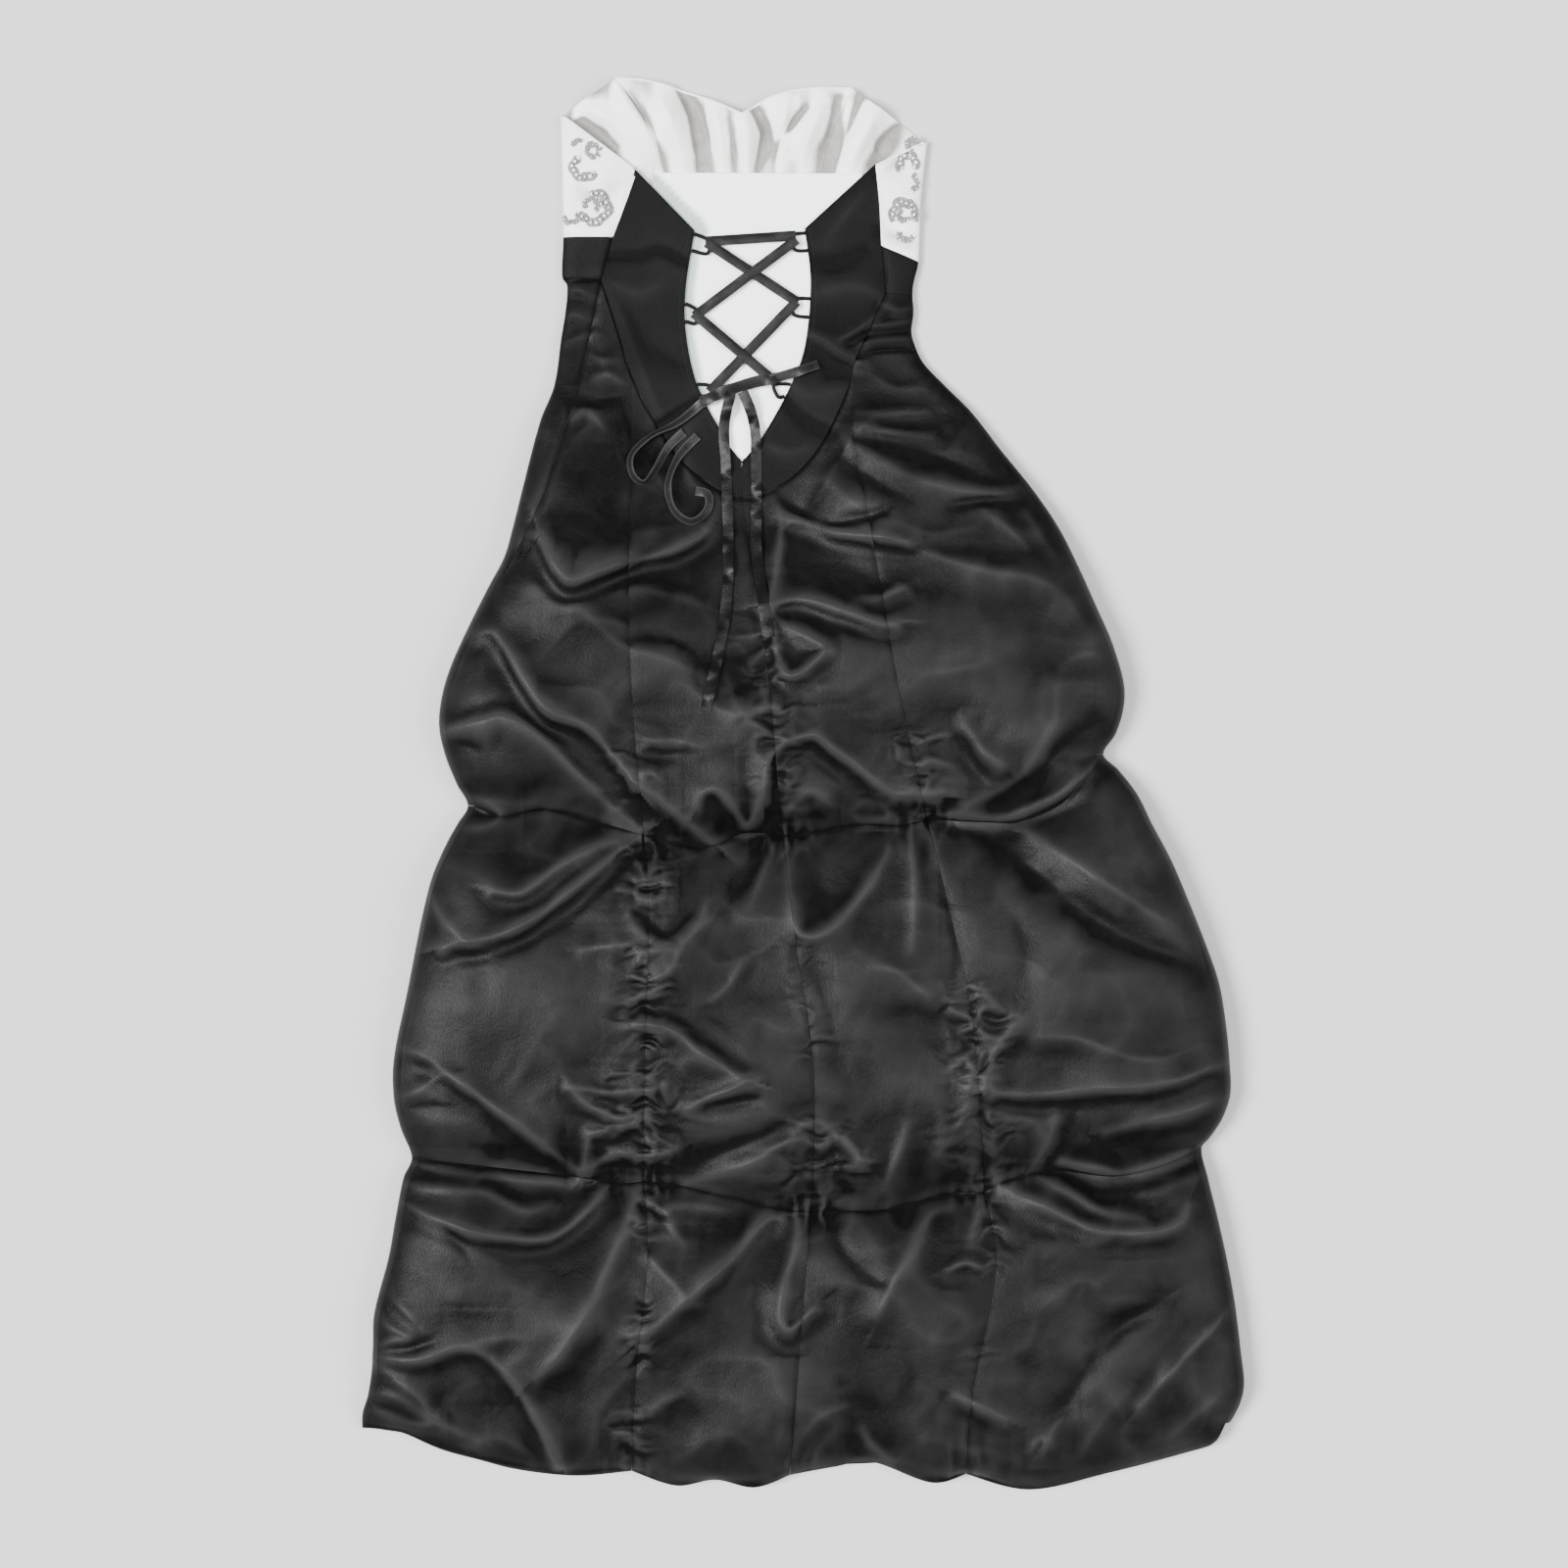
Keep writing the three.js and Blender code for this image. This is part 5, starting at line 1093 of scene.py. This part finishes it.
def make_bow():
    made, routes = {}, {}
    for name, width, points in BOW:
        line = resting_line(points, width)
        share = np.linspace(0, 1, len(line))
        lean = LEANS.get(name, 0) * np.clip(4 * share, 0, 1) * np.clip(4 * (1 - share), 0, 1)
        # Painted highlight along the edges of these ribbons
        rim = EDGE_HIGHLIGHTS.get(name, 0.0)
        piece = ribbon_piece(
            f"ribbon_{name}", line, width, RIBBON_EDGE_HIGHLIGHT if rim else RIBBON_SATIN,
            lean=lean, rumple=RUMPLES.get(name, 0.15), seed=70 + len(made), rim=rim,
        )
        made[name] = dress(piece, name)
        rise = np.sin(np.radians(np.abs(lean))) * width / 2
        routes[name] = placed(line[:, 0], line[:, 1], line[:, 2] + rise) + (0, 0, RIBBON_CLOTH / 2 * MM)
    for name, width, _ in BOW:
        if name in ("bow_knot", "bow_end_right"):
            continue


make_lacing()
make_bow()


def cells_for(length):
    return max(int(round(length / CELL)), 2)


def fold_line(edge, start, end, cells):
    down = np.linspace(start, end, cells + 1)
    return np.column_stack([edge(down), down])


# Where the skirt's right side seam meets the line of the midriff's lower edge
TUCK = (927, 367 + (357 - 367) * (927 - 873) / (935 - 873))
WRAP_SEAM = [(394, 590), (450, 575), (505, 558), (548, 538), (585, 518)]
TIER_SPAN = {
    "upper": ((394, 822), (357, 770), 140),
    "middle": ((822, 1180), (770, 1170), 124),
    "lower": ((1180, 1456), (1170, 1450), 100),
}
LEFT_SIDE_SEAM = {
    "white": [(648, 175), (640, 205), (626, 243)],
    "band": [(626, 243), (614, 287)],
    "midriff": [(614, 287), (601, 350), (590, 394)],
}
RIGHT_SIDE_SEAM = {
    "white": [(893, 170), (897, 210), (899, 252)],
    "band": [(899, 252), (903, 300)],
    "midriff": [(903, 300), (888, 334), (873, 367)],
}


def tier_sides(tier):
    left_span, right_span, rows = TIER_SPAN[tier]
    rows = int(rows * 3 / CELL)
    fold_left = fold_line(left_edge, *left_span, rows)
    fold_right = fold_line(right_edge, *right_span, rows)
    seam_left = fold_left + (SIDE_SEAM_INSET, 0)
    if tier == "upper":
        early = seam_left[:, 1] < WRAP_SEAM[-1][0]
        wrapped = smooth(WRAP_SEAM, seam_left[:, 1])
        seam_left[early, 0] = np.maximum(seam_left[early, 0], wrapped[early])
    seam_right = fold_right - (SIDE_SEAM_INSET, 0)
    if tier == "upper":
        seam_right[0] = TUCK
    return fold_left, fold_right, seam_left, seam_right, rows


def trimmed(points, cells, end, at_start):
    way = 1 if at_start else -1
    inner = [p for p in points if (p[0] - end[0]) * way > SIDE_SEAM_INSET]
    return evenly([tuple(end), *inner] if at_start else [*inner, tuple(end)], cells)


def front_rows(fold_left, fold_right, seam_left, seam_right, sag=None, wrap=10, roll=8, under=12):
    """Grids of a front piece, from its left seam over the folds, where it has them, to its right seam."""
    rows = len(seam_left)
    left_end = seam_left if fold_left is None else fold_left
    right_end = seam_right if fold_right is None else fold_right
    sag = np.zeros(rows) if sag is None else sag
    parts = []

    def wrapped(seam, fold, shares):
        t = np.sin(shares * math.pi / 2)[None]
        return back_surface(*(seam[:, k:k + 1] + (fold[:, k:k + 1] - seam[:, k:k + 1]) * t for k in (0, 1)))

    def rolled(fold, side, shares):
        return front_surface(fold[:, :1], fold[:, 1:], side, shares[None])

    if fold_left is not None:
        parts.append(wrapped(seam_left, fold_left, np.arange(wrap) / wrap))
        parts.append(rolled(fold_left, -1, np.arange(roll) / roll))
    reach = FRONT_ROLL * FOLD_MOST
    start = left_end[:, :1] + (0 if fold_left is None else reach)
    end = right_end[:, :1] - (0 if fold_right is None else reach)
    right = start + (end - start) * np.linspace(0, 1, under + 1)[None]
    share = np.clip((right - left_end[:, :1]) / (right_end[:, :1] - left_end[:, :1]), 0, 1)
    down = left_end[:, 1:] + (right_end[:, 1:] - left_end[:, 1:]) * share + sag[:, None] * np.sin(math.pi * share)
    parts.append(front_surface(right, down, -1, 1))
    if fold_right is not None:
        parts.append(rolled(fold_right, 1, np.arange(roll - 1, -1, -1) / roll))
        parts.append(wrapped(seam_right, fold_right, np.arange(wrap - 1, -1, -1) / wrap))
    return [np.concatenate(of_all, axis=1) for of_all in zip(*parts)]


def make_tier(tier, top_seam, foot_seam):
    fold_left, fold_right, left, right, rows = tier_sides(tier)
    seam = {key: evenly(points, rows) for key, points in GORES[tier].items()}
    side_cells = cells_for(length_of(foot_seam["side_left"]))
    if tier == "upper":
        beside = LEFT_SIDE_SEAM["midriff"][::-1]
        first = int(side_cells * 0.5)
        top_left = np.vstack([evenly(beside, first)[:-1], evenly(top_seam["side_left"], side_cells - first)])
    else:
        top_left = trimmed(top_seam["side_left"], side_cells, left[0], True)
    far_cells = cells_for(length_of(foot_seam["side_right"]))
    mid = {key: cells_for(length_of(foot_seam[key])) for key in ("left", "right")}
    gores = {
        "side_left": (top_left, trimmed(foot_seam["side_left"], side_cells, left[-1], True), left, seam["a"]),
        **{
            key: (evenly(top_seam[key], mid[key]), evenly(foot_seam[key], mid[key]), seam[first], seam[second])
            for key, first, second in (("left", "a", "b"), ("right", "b", "c"))
        },
        "side_right": (
            trimmed(top_seam["side_right"], far_cells, right[0], False),
            trimmed(foot_seam["side_right"], far_cells, right[-1], False), seam["c"], right,
        ),
    }
    for key, edges in gores.items():
        grid = patch(*edges)
        points, faces, relief = back_surface(grid[..., 0], grid[..., 1])
        name = f"{tier}_back_{key}"
        piece = cloth_piece(f"satin_{name}", points, faces, BLACK_SATIN, relief, shade=waist_shade(points))
        dress(piece, f"skirt_{name}")
    sag, under = (FRONT_HEM_SAG * np.linspace(0, 1, rows + 1) ** 2, 90) if tier == "lower" else (None, 24)
    points, faces, relief = front_rows(fold_left, fold_right, left, right, sag, under=under)
    piece = cloth_piece(f"satin_{tier}_front", points, faces, BLACK_SATIN, relief, shade=waist_shade(points))
    dress(piece, f"skirt_{tier}_front")


make_tier("upper", BASQUE, UPPER_SEAM)
make_tier("middle", UPPER_SEAM, LOWER_SEAM)
make_tier("lower", LOWER_SEAM, HEM)


# The white front of the bodice, its black band and the ruched midriff
def on_band_top(right):
    left, far = (float(left_edge(243)), 243), (float(right_edge(268)), 268)
    return (right, left[1] + (far[1] - left[1]) * (right - left[0]) / (far[0] - left[0]))


WHITE_ROWS = int(180 / CELL)
PRINCESS = {
    "left": evenly([(628, 82), (652, 112), (668, 150), on_band_top(690)], WHITE_ROWS),
    "right": evenly([(869, 92), (852, 130), (840, 170), on_band_top(830)], WHITE_ROWS),
}
NECK = {
    "left": [(628, 82), (660, 84), (700, 95), (735, 108), (757, 118)],
    "right": [(757, 118), (790, 100), (830, 92), (869, 92)],
}


def make_white_front():
    left_fold = fold_line(left_edge, 118, 243, WHITE_ROWS)
    right_fold = fold_line(right_edge, 146, 268, WHITE_ROWS)
    left_seam, right_seam = (evenly(side["white"], WHITE_ROWS) for side in (LEFT_SIDE_SEAM, RIGHT_SIDE_SEAM))
    half = cells_for(130)
    top = np.vstack([evenly(NECK["left"], half), evenly(NECK["right"], half)[1:]])
    foot = np.linspace(PRINCESS["left"][-1], PRINCESS["right"][-1], 2 * half + 1)
    center = patch(top, foot, PRINCESS["left"], PRINCESS["right"])
    for name, grids, flat in (
        ("left", front_rows(left_fold, None, left_seam, PRINCESS["left"], wrap=24, under=34), (0.22, 0.19)),
        ("right", front_rows(None, right_fold, PRINCESS["right"], right_seam, wrap=20, under=34),
         (0.2, 0.2)),
        ("center", front_surface(center[..., 0], center[..., 1], -1, 1), (0.26, 0.18)),
    ):
        points, faces, lift = grids
        piece = cloth_piece(f"satin_bodice_front_{name}", points, faces, WHITE_SATIN, lift, WHITE_REACH)
        dress(piece, f"bodice_front_{name}")


def make_band_and_midriff():
    for name, left_span, right_span, rows, key, flat in (
        ("underbust_band", (243, 284), (268, 302), int(44 / CELL), "band", (0.48, 0.045)),
        ("midriff_front", (284, 394), (302, 357), int(110 / CELL), "midriff", (0.5, 0.15)),
    ):
        folds = fold_line(left_edge, *left_span, rows), fold_line(right_edge, *right_span, rows)
        seams = evenly(LEFT_SIDE_SEAM[key], rows), evenly(RIGHT_SIDE_SEAM[key], rows)
        points, faces, relief = front_rows(*folds, *seams, wrap=16, under=60)
        piece = dress(cloth_piece(f"satin_{name}", points, faces, BODICE_BLACK, relief), name)


# Painted shadow that the left back edge casts on the panel beside the left lacing edge, in millimetres: down,
# right; down, width
PANEL_DROP = 0.6
SHADOW_EDGE = [(175, 648), (237, 708), (295, 699), (340, 699), (392, 710), (440, 735)]
SHADOW_WIDTH = [(180, 24), (225, 26), (250, 15), (400, 13), (430, 0)]
SHADOW_STRENGTH = 0.9
SHADOW_RAMP = 8


def laid_out(grid, height):
    """Points over a layout grid at a height, and the way they face: straight up."""
    points = np.concatenate([grid, height[..., None]], axis=-1)
    return points, np.broadcast_to((0.0, 0.0, 1.0), points.shape)


def side_line(parts):
    """Points at even steps down several stretches of a panel's side."""
    return np.vstack([*(evenly(part, cells_for(length_of(part)))[:-1] for part in parts), parts[-1][-1:]])


def make_bodice_back():
    rows, cells = int(150 / CELL), cells_for(110)
    left_side = side_line([LEFT_SIDE_SEAM["white"], LEFT_SIDE_SEAM["band"], BASQUE["side_left"]])
    left = patch(
        evenly(NECK_EDGES["left"], cells), evenly(BASQUE["left"], cells),
        left_side, evenly(LACING_EDGE["left"], len(left_side) - 1),
    )
    basque = evenly(BASQUE["right"], 5 * cells)
    outer = side_line([RIGHT_SIDE_SEAM["white"], RIGHT_SIDE_SEAM["band"], BASQUE["bodice_right"][::-1]])
    right_side = np.vstack([outer[:-1], basque[:cells - 1:-4]])
    right = patch(
        evenly(NECK_EDGES["right"], cells), basque[:cells + 1],
        evenly(LACING_EDGE["right"], len(right_side) - 1), right_side,
    )
    for side, grid, flat in (("left", left, (0.15, 0.34)), ("right", right, (0.15, 0.35))):
        relief = fold_relief(BODICE_FOLDS, grid[..., 0], grid[..., 1])
        points, faces = laid_out(grid, BODICE_LEVEL + np.maximum(relief, DEEPEST))
        piece = cloth_piece(f"satin_bodice_back_{side}", points, faces, BODICE_BLACK, relief, BODICE_REACH)
        dress(piece, f"bodice_back_{side}")
    cells = cells_for(200)
    panel = patch(
        evenly([(666, 177), (880, 178)], cells),
        evenly([(722, 478), (792, 478)], cells),
        evenly([(666, 177), (668, 300), (722, 478)], rows),
        evenly([(880, 178), (872, 300), (792, 478)], rows),
    )
    wave = 0.35 * np.sin(panel[..., 0] / 31 + panel[..., 1] / 23) + 0.25 * np.sin(panel[..., 1] / 41)
    points, faces = laid_out(panel, MODESTY_LEVEL - PANEL_DROP + wave)
    # Painted shadow of the left back edge, darkening the panel over a strip beside it
    edge, wide = (np.interp(panel[..., 1], *zip(*rows)) for rows in (SHADOW_EDGE, SHADOW_WIDTH))
    painted_shadow = -SHADOW_STRENGTH * np.clip((edge + wide - panel[..., 0]) / SHADOW_RAMP, 0, 1)
    piece = cloth_piece("cloth_modesty_panel", points, faces, PANEL_WHITE, shade=painted_shadow)
    dress(piece, "modesty_panel")


make_white_front()
make_band_and_midriff()
make_bodice_back()


# Rouleau loops, rolled edges and the zip tape
def tube(name, points, radius, material, resolution=4):
    """A round tube along points of the scene, as a mesh."""
    data = bpy.data.curves.new(name, "CURVE")
    data.dimensions = "3D"
    data.bevel_depth = radius * MM
    data.bevel_resolution = resolution
    data.use_fill_caps = True
    path = data.splines.new("POLY")
    path.points.add(len(points) - 1)
    for spot, point in zip(path.points, points):
        spot.co = (*point, 1)
    curve = linked(name, data)
    mesh = bpy.data.meshes.new_from_object(curve.evaluated_get(bpy.context.evaluated_depsgraph_get()))
    bpy.data.objects.remove(curve)
    mesh.materials.clear()
    mesh.materials.append(material)
    mesh.polygons.foreach_set("use_smooth", [True] * len(mesh.polygons))
    return linked(name, mesh)


LOOPS = {
    "left_1": [(708.6, 240), (723, 247), (722, 260), (706.2, 257)],
    "left_2": [(699.4, 311), (711, 318), (710, 331), (699.6, 329)],
    "left_3": [(711.6, 393), (725, 395), (727, 406), (716.6, 405)],
    "right_1": [(821.8, 239), (808, 242), (811, 256), (824, 257)],
    "right_2": [(827, 306), (811, 307), (810, 322), (826, 325)],
    "right_3": [(806.6, 393), (790, 394), (794, 406), (800.4, 405)],
}
LOOP_RADIUS = 1.9
LOOP_HEIGHT = 11.7
LOOP_BOW = 0.6


def make_loops():
    for key, corners in LOOPS.items():
        line = evenly(corners, 26)
        bow = np.sin(np.linspace(0, math.pi, len(line)))
        points = placed(line[:, 0], line[:, 1], LOOP_HEIGHT + LOOP_BOW * bow)
        dress(tube(f"rouleau_{key}", points, LOOP_RADIUS, CORD_BLACK), f"lacing_loop_{key}")


def rolled_edge(name, line, radius, material, slot_name, height):
    points = placed(line[:, 0], line[:, 1], height)
    return trim(tube(name, points, radius, material, resolution=3))


# Radii of the rolled edges in millimetres
BLACK_EDGE = 1.0
PANEL_EDGE = 0.9
NECK_ROLL = 1.3
WRAP_ROLL = 1.5
WRAP_EDGES = {"left": [(576, 121), (646, 173.5)], "right": [(942, 147), (894, 170.5)]}


def make_edges():
    black = (BLACK_EDGE, BODICE_BLACK, "black_satin", BODICE_LEVEL - BLACK_EDGE / 2)
    for side in ("left", "right"):
        rolled_edge(f"lacing_edge_{side}", evenly(LACING_EDGE[side][:-1], 70), *black)
    for side in ("left", "right"):
        rolled_edge(f"back_neck_edge_{side}", evenly(NECK_EDGES[side], 30), *black)
    for side, ends in WRAP_EDGES.items():
        line = evenly(ends, 30)
        height = back_surface(line[:, 0], line[:, 1])[0][:, 2] - 0.3
        rolled_edge(f"wrap_edge_{side}", line, WRAP_ROLL, WHITE_SATIN, "white_satin", height)
    hem = evenly([(668, 178), (878, 179)], 60)
    rolled_edge("modesty_panel_hem", hem, PANEL_EDGE, PANEL_WHITE, "white_panel", MODESTY_LEVEL - PANEL_DROP)
    for side, points in NECK.items():
        line = evenly(points, 60)
        height = front_lift(line[:, 0], line[:, 1]) + 0.9
        rolled_edge(f"neck_edge_{side}", line, NECK_ROLL, WHITE_SATIN, "white_satin", height)


make_loops()
make_edges()


def make_zip_tape():
    line = evenly([(646, 181), (637, 207)], 10)
    line = np.column_stack([line, np.full(len(line), BODICE_LEVEL + 0.4)])
    dress(ribbon_piece("tape_side_zip", line, 5, THREAD_WHITE, crown=0.2), "side_zip_tape")


make_zip_tape()


# Geometry nodes that set beads, stones or stitches along lines
SHAPES = {
    "GeometryNodeMeshUVSphere": {"Segments": 8, "Rings": 5, "Radius": 1.0},
    "GeometryNodeMeshCone": {"Vertices": 6, "Radius Top": 0.45, "Radius Bottom": 1.0, "Depth": 0.8},
    "GeometryNodeMeshCylinder": {"Vertices": 6, "Radius": 0.35, "Depth": 2.6},
}
ROW_INPUTS = [
    ("Step", "Float"), ("Size", "Float"), ("Uneven", "Float"), ("Seed", "Int"), ("Material", "Material"),
]


def row_tree(name, shape_kind):
    """Sets a shape along a line at even steps, with seeded unevenness in size; stitches lie along it."""
    tree = bpy.data.node_groups.new(name, "GeometryNodeTree")
    for way in ("OUTPUT", "INPUT"):
        tree.interface.new_socket("Geometry", in_out=way, socket_type="NodeSocketGeometry")
    ids = {
        label: tree.interface.new_socket(label, in_out="INPUT", socket_type=f"NodeSocket{kind}").identifier
        for label, kind in ROW_INPUTS
    }
    given = add_node(tree, "NodeGroupInput").outputs
    line = add_node(tree, "GeometryNodeMeshToCurve", {0: given["Geometry"]})
    steps = {"Curve": line.outputs[0], "Length": given["Step"]}
    spaced = add_node(tree, "GeometryNodeResampleCurve", steps, mode="LENGTH")
    low, high = (
        add_node(tree, "ShaderNodeMath", {0: 1.0, 1: given["Uneven"]}, operation=kind).outputs[0]
        for kind in ("SUBTRACT", "ADD")
    )
    spread = {2: low, 3: high, "Seed": given["Seed"]}
    sizes = add_node(tree, "FunctionNodeRandomValue", spread, data_type="FLOAT")
    scaled = add_node(tree, "ShaderNodeMath", {0: sizes.outputs[1], 1: given["Size"]}, operation="MULTIPLY")
    shape = add_node(tree, shape_kind, SHAPES[shape_kind])
    placing = {"Points": spaced.outputs[0], "Instance": shape.outputs["Mesh"], "Scale": scaled.outputs[0]}
    if shape_kind == "GeometryNodeMeshCylinder":
        along = {"Vector": add_node(tree, "GeometryNodeInputTangent").outputs[0]}
        placing["Rotation"] = add_node(tree, "FunctionNodeAlignRotationToVector", along, axis="Z").outputs[0]
    copies = add_node(tree, "GeometryNodeInstanceOnPoints", placing)
    real = add_node(tree, "GeometryNodeRealizeInstances", {0: copies.outputs[0]})
    finish = {"Geometry": real.outputs[0], "Material": given["Material"]}
    finished = add_node(tree, "GeometryNodeSetMaterial", finish).outputs[0]
    add_node(tree, "NodeGroupOutput", {0: finished})
    return tree, ids


BEAD_ROW = row_tree("bead_row", "GeometryNodeMeshUVSphere")
STONE_ROW = row_tree("stone_row", "GeometryNodeMeshCone")
STITCH_ROW = row_tree("stitch_row", "GeometryNodeMeshCylinder")


def row_piece(name, lines, tree_and_ids, step, size, uneven, seed, material, flat_shaded=False):
    """Beads, stones or stitches along several lines of scene points, as one mesh."""
    tree, ids = tree_and_ids
    vertices, edges = [], []
    for line in lines:
        start = len(vertices)
        vertices.extend(np.asarray(line).tolist())
        edges.extend((start + k, start + k + 1) for k in range(len(line) - 1))
    mesh = bpy.data.meshes.new(f"{name}_lines")
    mesh.from_pydata(vertices, edges, [])
    carrier = linked(f"{name}_lines", mesh)
    setter = carrier.modifiers.new("rows", "NODES")
    setter.node_group = tree
    for (label, _), value in zip(ROW_INPUTS, (step * MM, size * MM, uneven, seed, material)):
        setter[ids[label]] = value
    shown = carrier.evaluated_get(bpy.context.evaluated_depsgraph_get())
    made = bpy.data.meshes.new_from_object(shown)
    carrier.modifiers.remove(setter)
    bpy.data.objects.remove(carrier)
    made.polygons.foreach_set("use_smooth", [not flat_shaded] * len(made.polygons))
    return linked(name, made)


# The beaded scrolls on the white sides: rings and chains with their own stones
Arc = namedtuple("Arc", "right down radius start turn")
SCROLLS = {
    "applique_left_upper": [
        Arc(596, 172, 11, 120, 210), Arc(606, 155, 6.5, 0, 330), Arc(591, 160, 14, 125, -50),
    ],
    "applique_left_lower": [
        Arc(606, 213, 15, 100, -260), Arc(604, 211, 7, 200, -250), Arc(584, 221, 7, 330, -150),
    ],
    "applique_right_upper": [Arc(926, 168, 8, 330, 250), Arc(926, 188, 9, 60, -120), Arc(931, 149, 5, 0, 280)],
    "applique_right_lower": [
        Arc(922, 219, 11, 215, -250), Arc(922, 221, 5, 100, 240), Arc(925, 238, 8, 180, 150),
    ],
}


def arc_line(arc, growth=0.0, count=40):
    share = np.linspace(0, 1, count)
    angle = np.radians(arc.start + arc.turn * share)
    radius = arc.radius * (1 + 0.09 * np.sin(5 * angle + arc.right))
    radius = radius + growth * (0.6 + 0.4 * np.sin(share * math.pi))
    return np.column_stack([arc.right + radius * np.cos(angle), arc.down - radius * np.sin(angle)])


def on_side(line, lift):
    """Scene points of a line that lies on the white side of the bodice."""
    points, _, _ = back_surface(line[:, 0], line[:, 1])
    return placed(points[:, 0], points[:, 1], points[:, 2] + lift)


# Rows of the scrolls: tree, step and size in millimetres, unevenness, seed, material, flat shading
RowKind = namedtuple("RowKind", "tree step size uneven seed material flat_shaded")
BIG_STONES = RowKind(STONE_ROW, 5.2, 2.4, 0.25, 3, CLEAR_STONE, True)
BEADS = RowKind(BEAD_ROW, 2.2, 0.85, 0.3, 11, SILVER_BEAD, False)
SMALL_STONES = RowKind(STONE_ROW, 4.1, 1.3, 0.35, 23, CLEAR_STONE, True)
BEAD_RIM = 3.4
GROUND_WIDTHS = (9, 6)


def scroll_row(name, kind, lines, number):
    tree, step, size, uneven, seed, material, flat_shaded = kind
    return row_piece(name, lines, tree, step, size, uneven, seed + number, material, flat_shaded)


def make_scrolls():
    for number, (node, arcs) in enumerate(SCROLLS.items()):
        big, others = arcs[0], arcs[1:]
        stones = scroll_row(f"stones_{node}", BIG_STONES, [on_side(arc_line(big), 1.0)], number)
        dress(stones, node)
        for turn, arc in enumerate(arcs):
            line = arc_line(arc)
            height = back_surface(line[:, 0], line[:, 1])[0][:, 2]
            uneven = 1 + 0.35 * noise(line[:, 0], line[:, 1], 4, 4, 80 + turn)
            trim(ribbon_piece(
                f"embroidery_{node}_{turn}", np.column_stack([line, height - 0.3]),
                GROUND_WIDTHS[min(turn, 1)] * uneven, SILVER_THREAD, crown=0.3,
            ))
        rims = [on_side(arc_line(big, growth), 0.7) for growth in (BEAD_RIM, -BEAD_RIM)]
        rims += [on_side(arc_line(arc), 0.7) for arc in others]
        trim(scroll_row(f"beads_{node}", BEADS, rims, number))
        inner = [on_side(arc_line(arc, 2.4), 0.8) for arc in others]
        trim(scroll_row(f"small_stones_{node}", SMALL_STONES, inner, number))


make_scrolls()


def make_stitches():
    """Thread along the lacing edges and the white sides."""
    lacing = []
    for side, off in (("left", -4.5), ("right", 4.5)):
        line = evenly(LACING_EDGE[side][:-4], 60) + (off, 0)
        lift = fold_relief(BODICE_FOLDS, line[:, 0], line[:, 1])
        lacing.append(placed(line[:, 0], line[:, 1], BODICE_LEVEL + lift + 0.1))
    trim(row_piece("stitches_lacing_edges", lacing, STITCH_ROW, 3.2, 0.7, 0.1, 41, THREAD_BLACK))
    sides = []
    for seam, off in ((LEFT_SIDE_SEAM["white"], -2.4), (RIGHT_SIDE_SEAM["white"], 2.4)):
        line = evenly(seam, 30) + (off, 0)
        sides.append(placed(line[:, 0], line[:, 1], BODICE_LEVEL + 0.1))
    trim(row_piece("stitches_white_sides", sides, STITCH_ROW, 3.0, 0.6, 0.1, 43, THREAD_WHITE))


make_stitches()


# Floor and light
FLOOR_HALF = 14
FLOOR_LEVEL = -0.001


def make_floor():
    mesh = bpy.data.meshes.new("floor")
    corners = [(-1, -1), (1, -1), (1, 1), (-1, 1)]
    points = [(x * FLOOR_HALF, y * FLOOR_HALF, FLOOR_LEVEL) for x, y in corners]
    mesh.from_pydata(points, [], [(0, 1, 2, 3)])
    material, tree, shader = new_material("floor_paper")
    feed(tree, shader, {"Base Color": (0.5, 0.5, 0.5, 1), "Roughness": 0.95, "Specular IOR Level": 0.1})
    mesh.materials.append(material)
    linked("floor", mesh)


# Lights: where each comes from, its spread in degrees and its power
Light = namedtuple("Light", "name come_from spread power")
LIGHTS = [
    Light("overhead", (0.0, 0.05, 1), 36, 2.6),
    Light("key", (-0.7, -0.05, 0.85), 26, 9.1),
    Light("fill", (0.8, -0.1, 0.8), 36, 3.4),
]


WORLD_LIGHT = 0.2


def make_lights():
    for name, come_from, spread, power in LIGHTS:
        data = bpy.data.lights.new(name, "SUN")
        data.angle = math.radians(spread)
        data.energy = power
        lamp = linked(name, data)
        lamp.location = [3 * part for part in come_from]
        lamp.rotation_euler = Vector(come_from).to_track_quat("Z", "Y").to_euler()
    world = bpy.data.worlds.new("studio")
    world.use_nodes = True
    feed(world.node_tree, world.node_tree.nodes["Background"], {"Color": (1, 1, 1, 1), "Strength": WORLD_LIGHT})
    bpy.context.scene.world = world


make_floor()
make_lights()
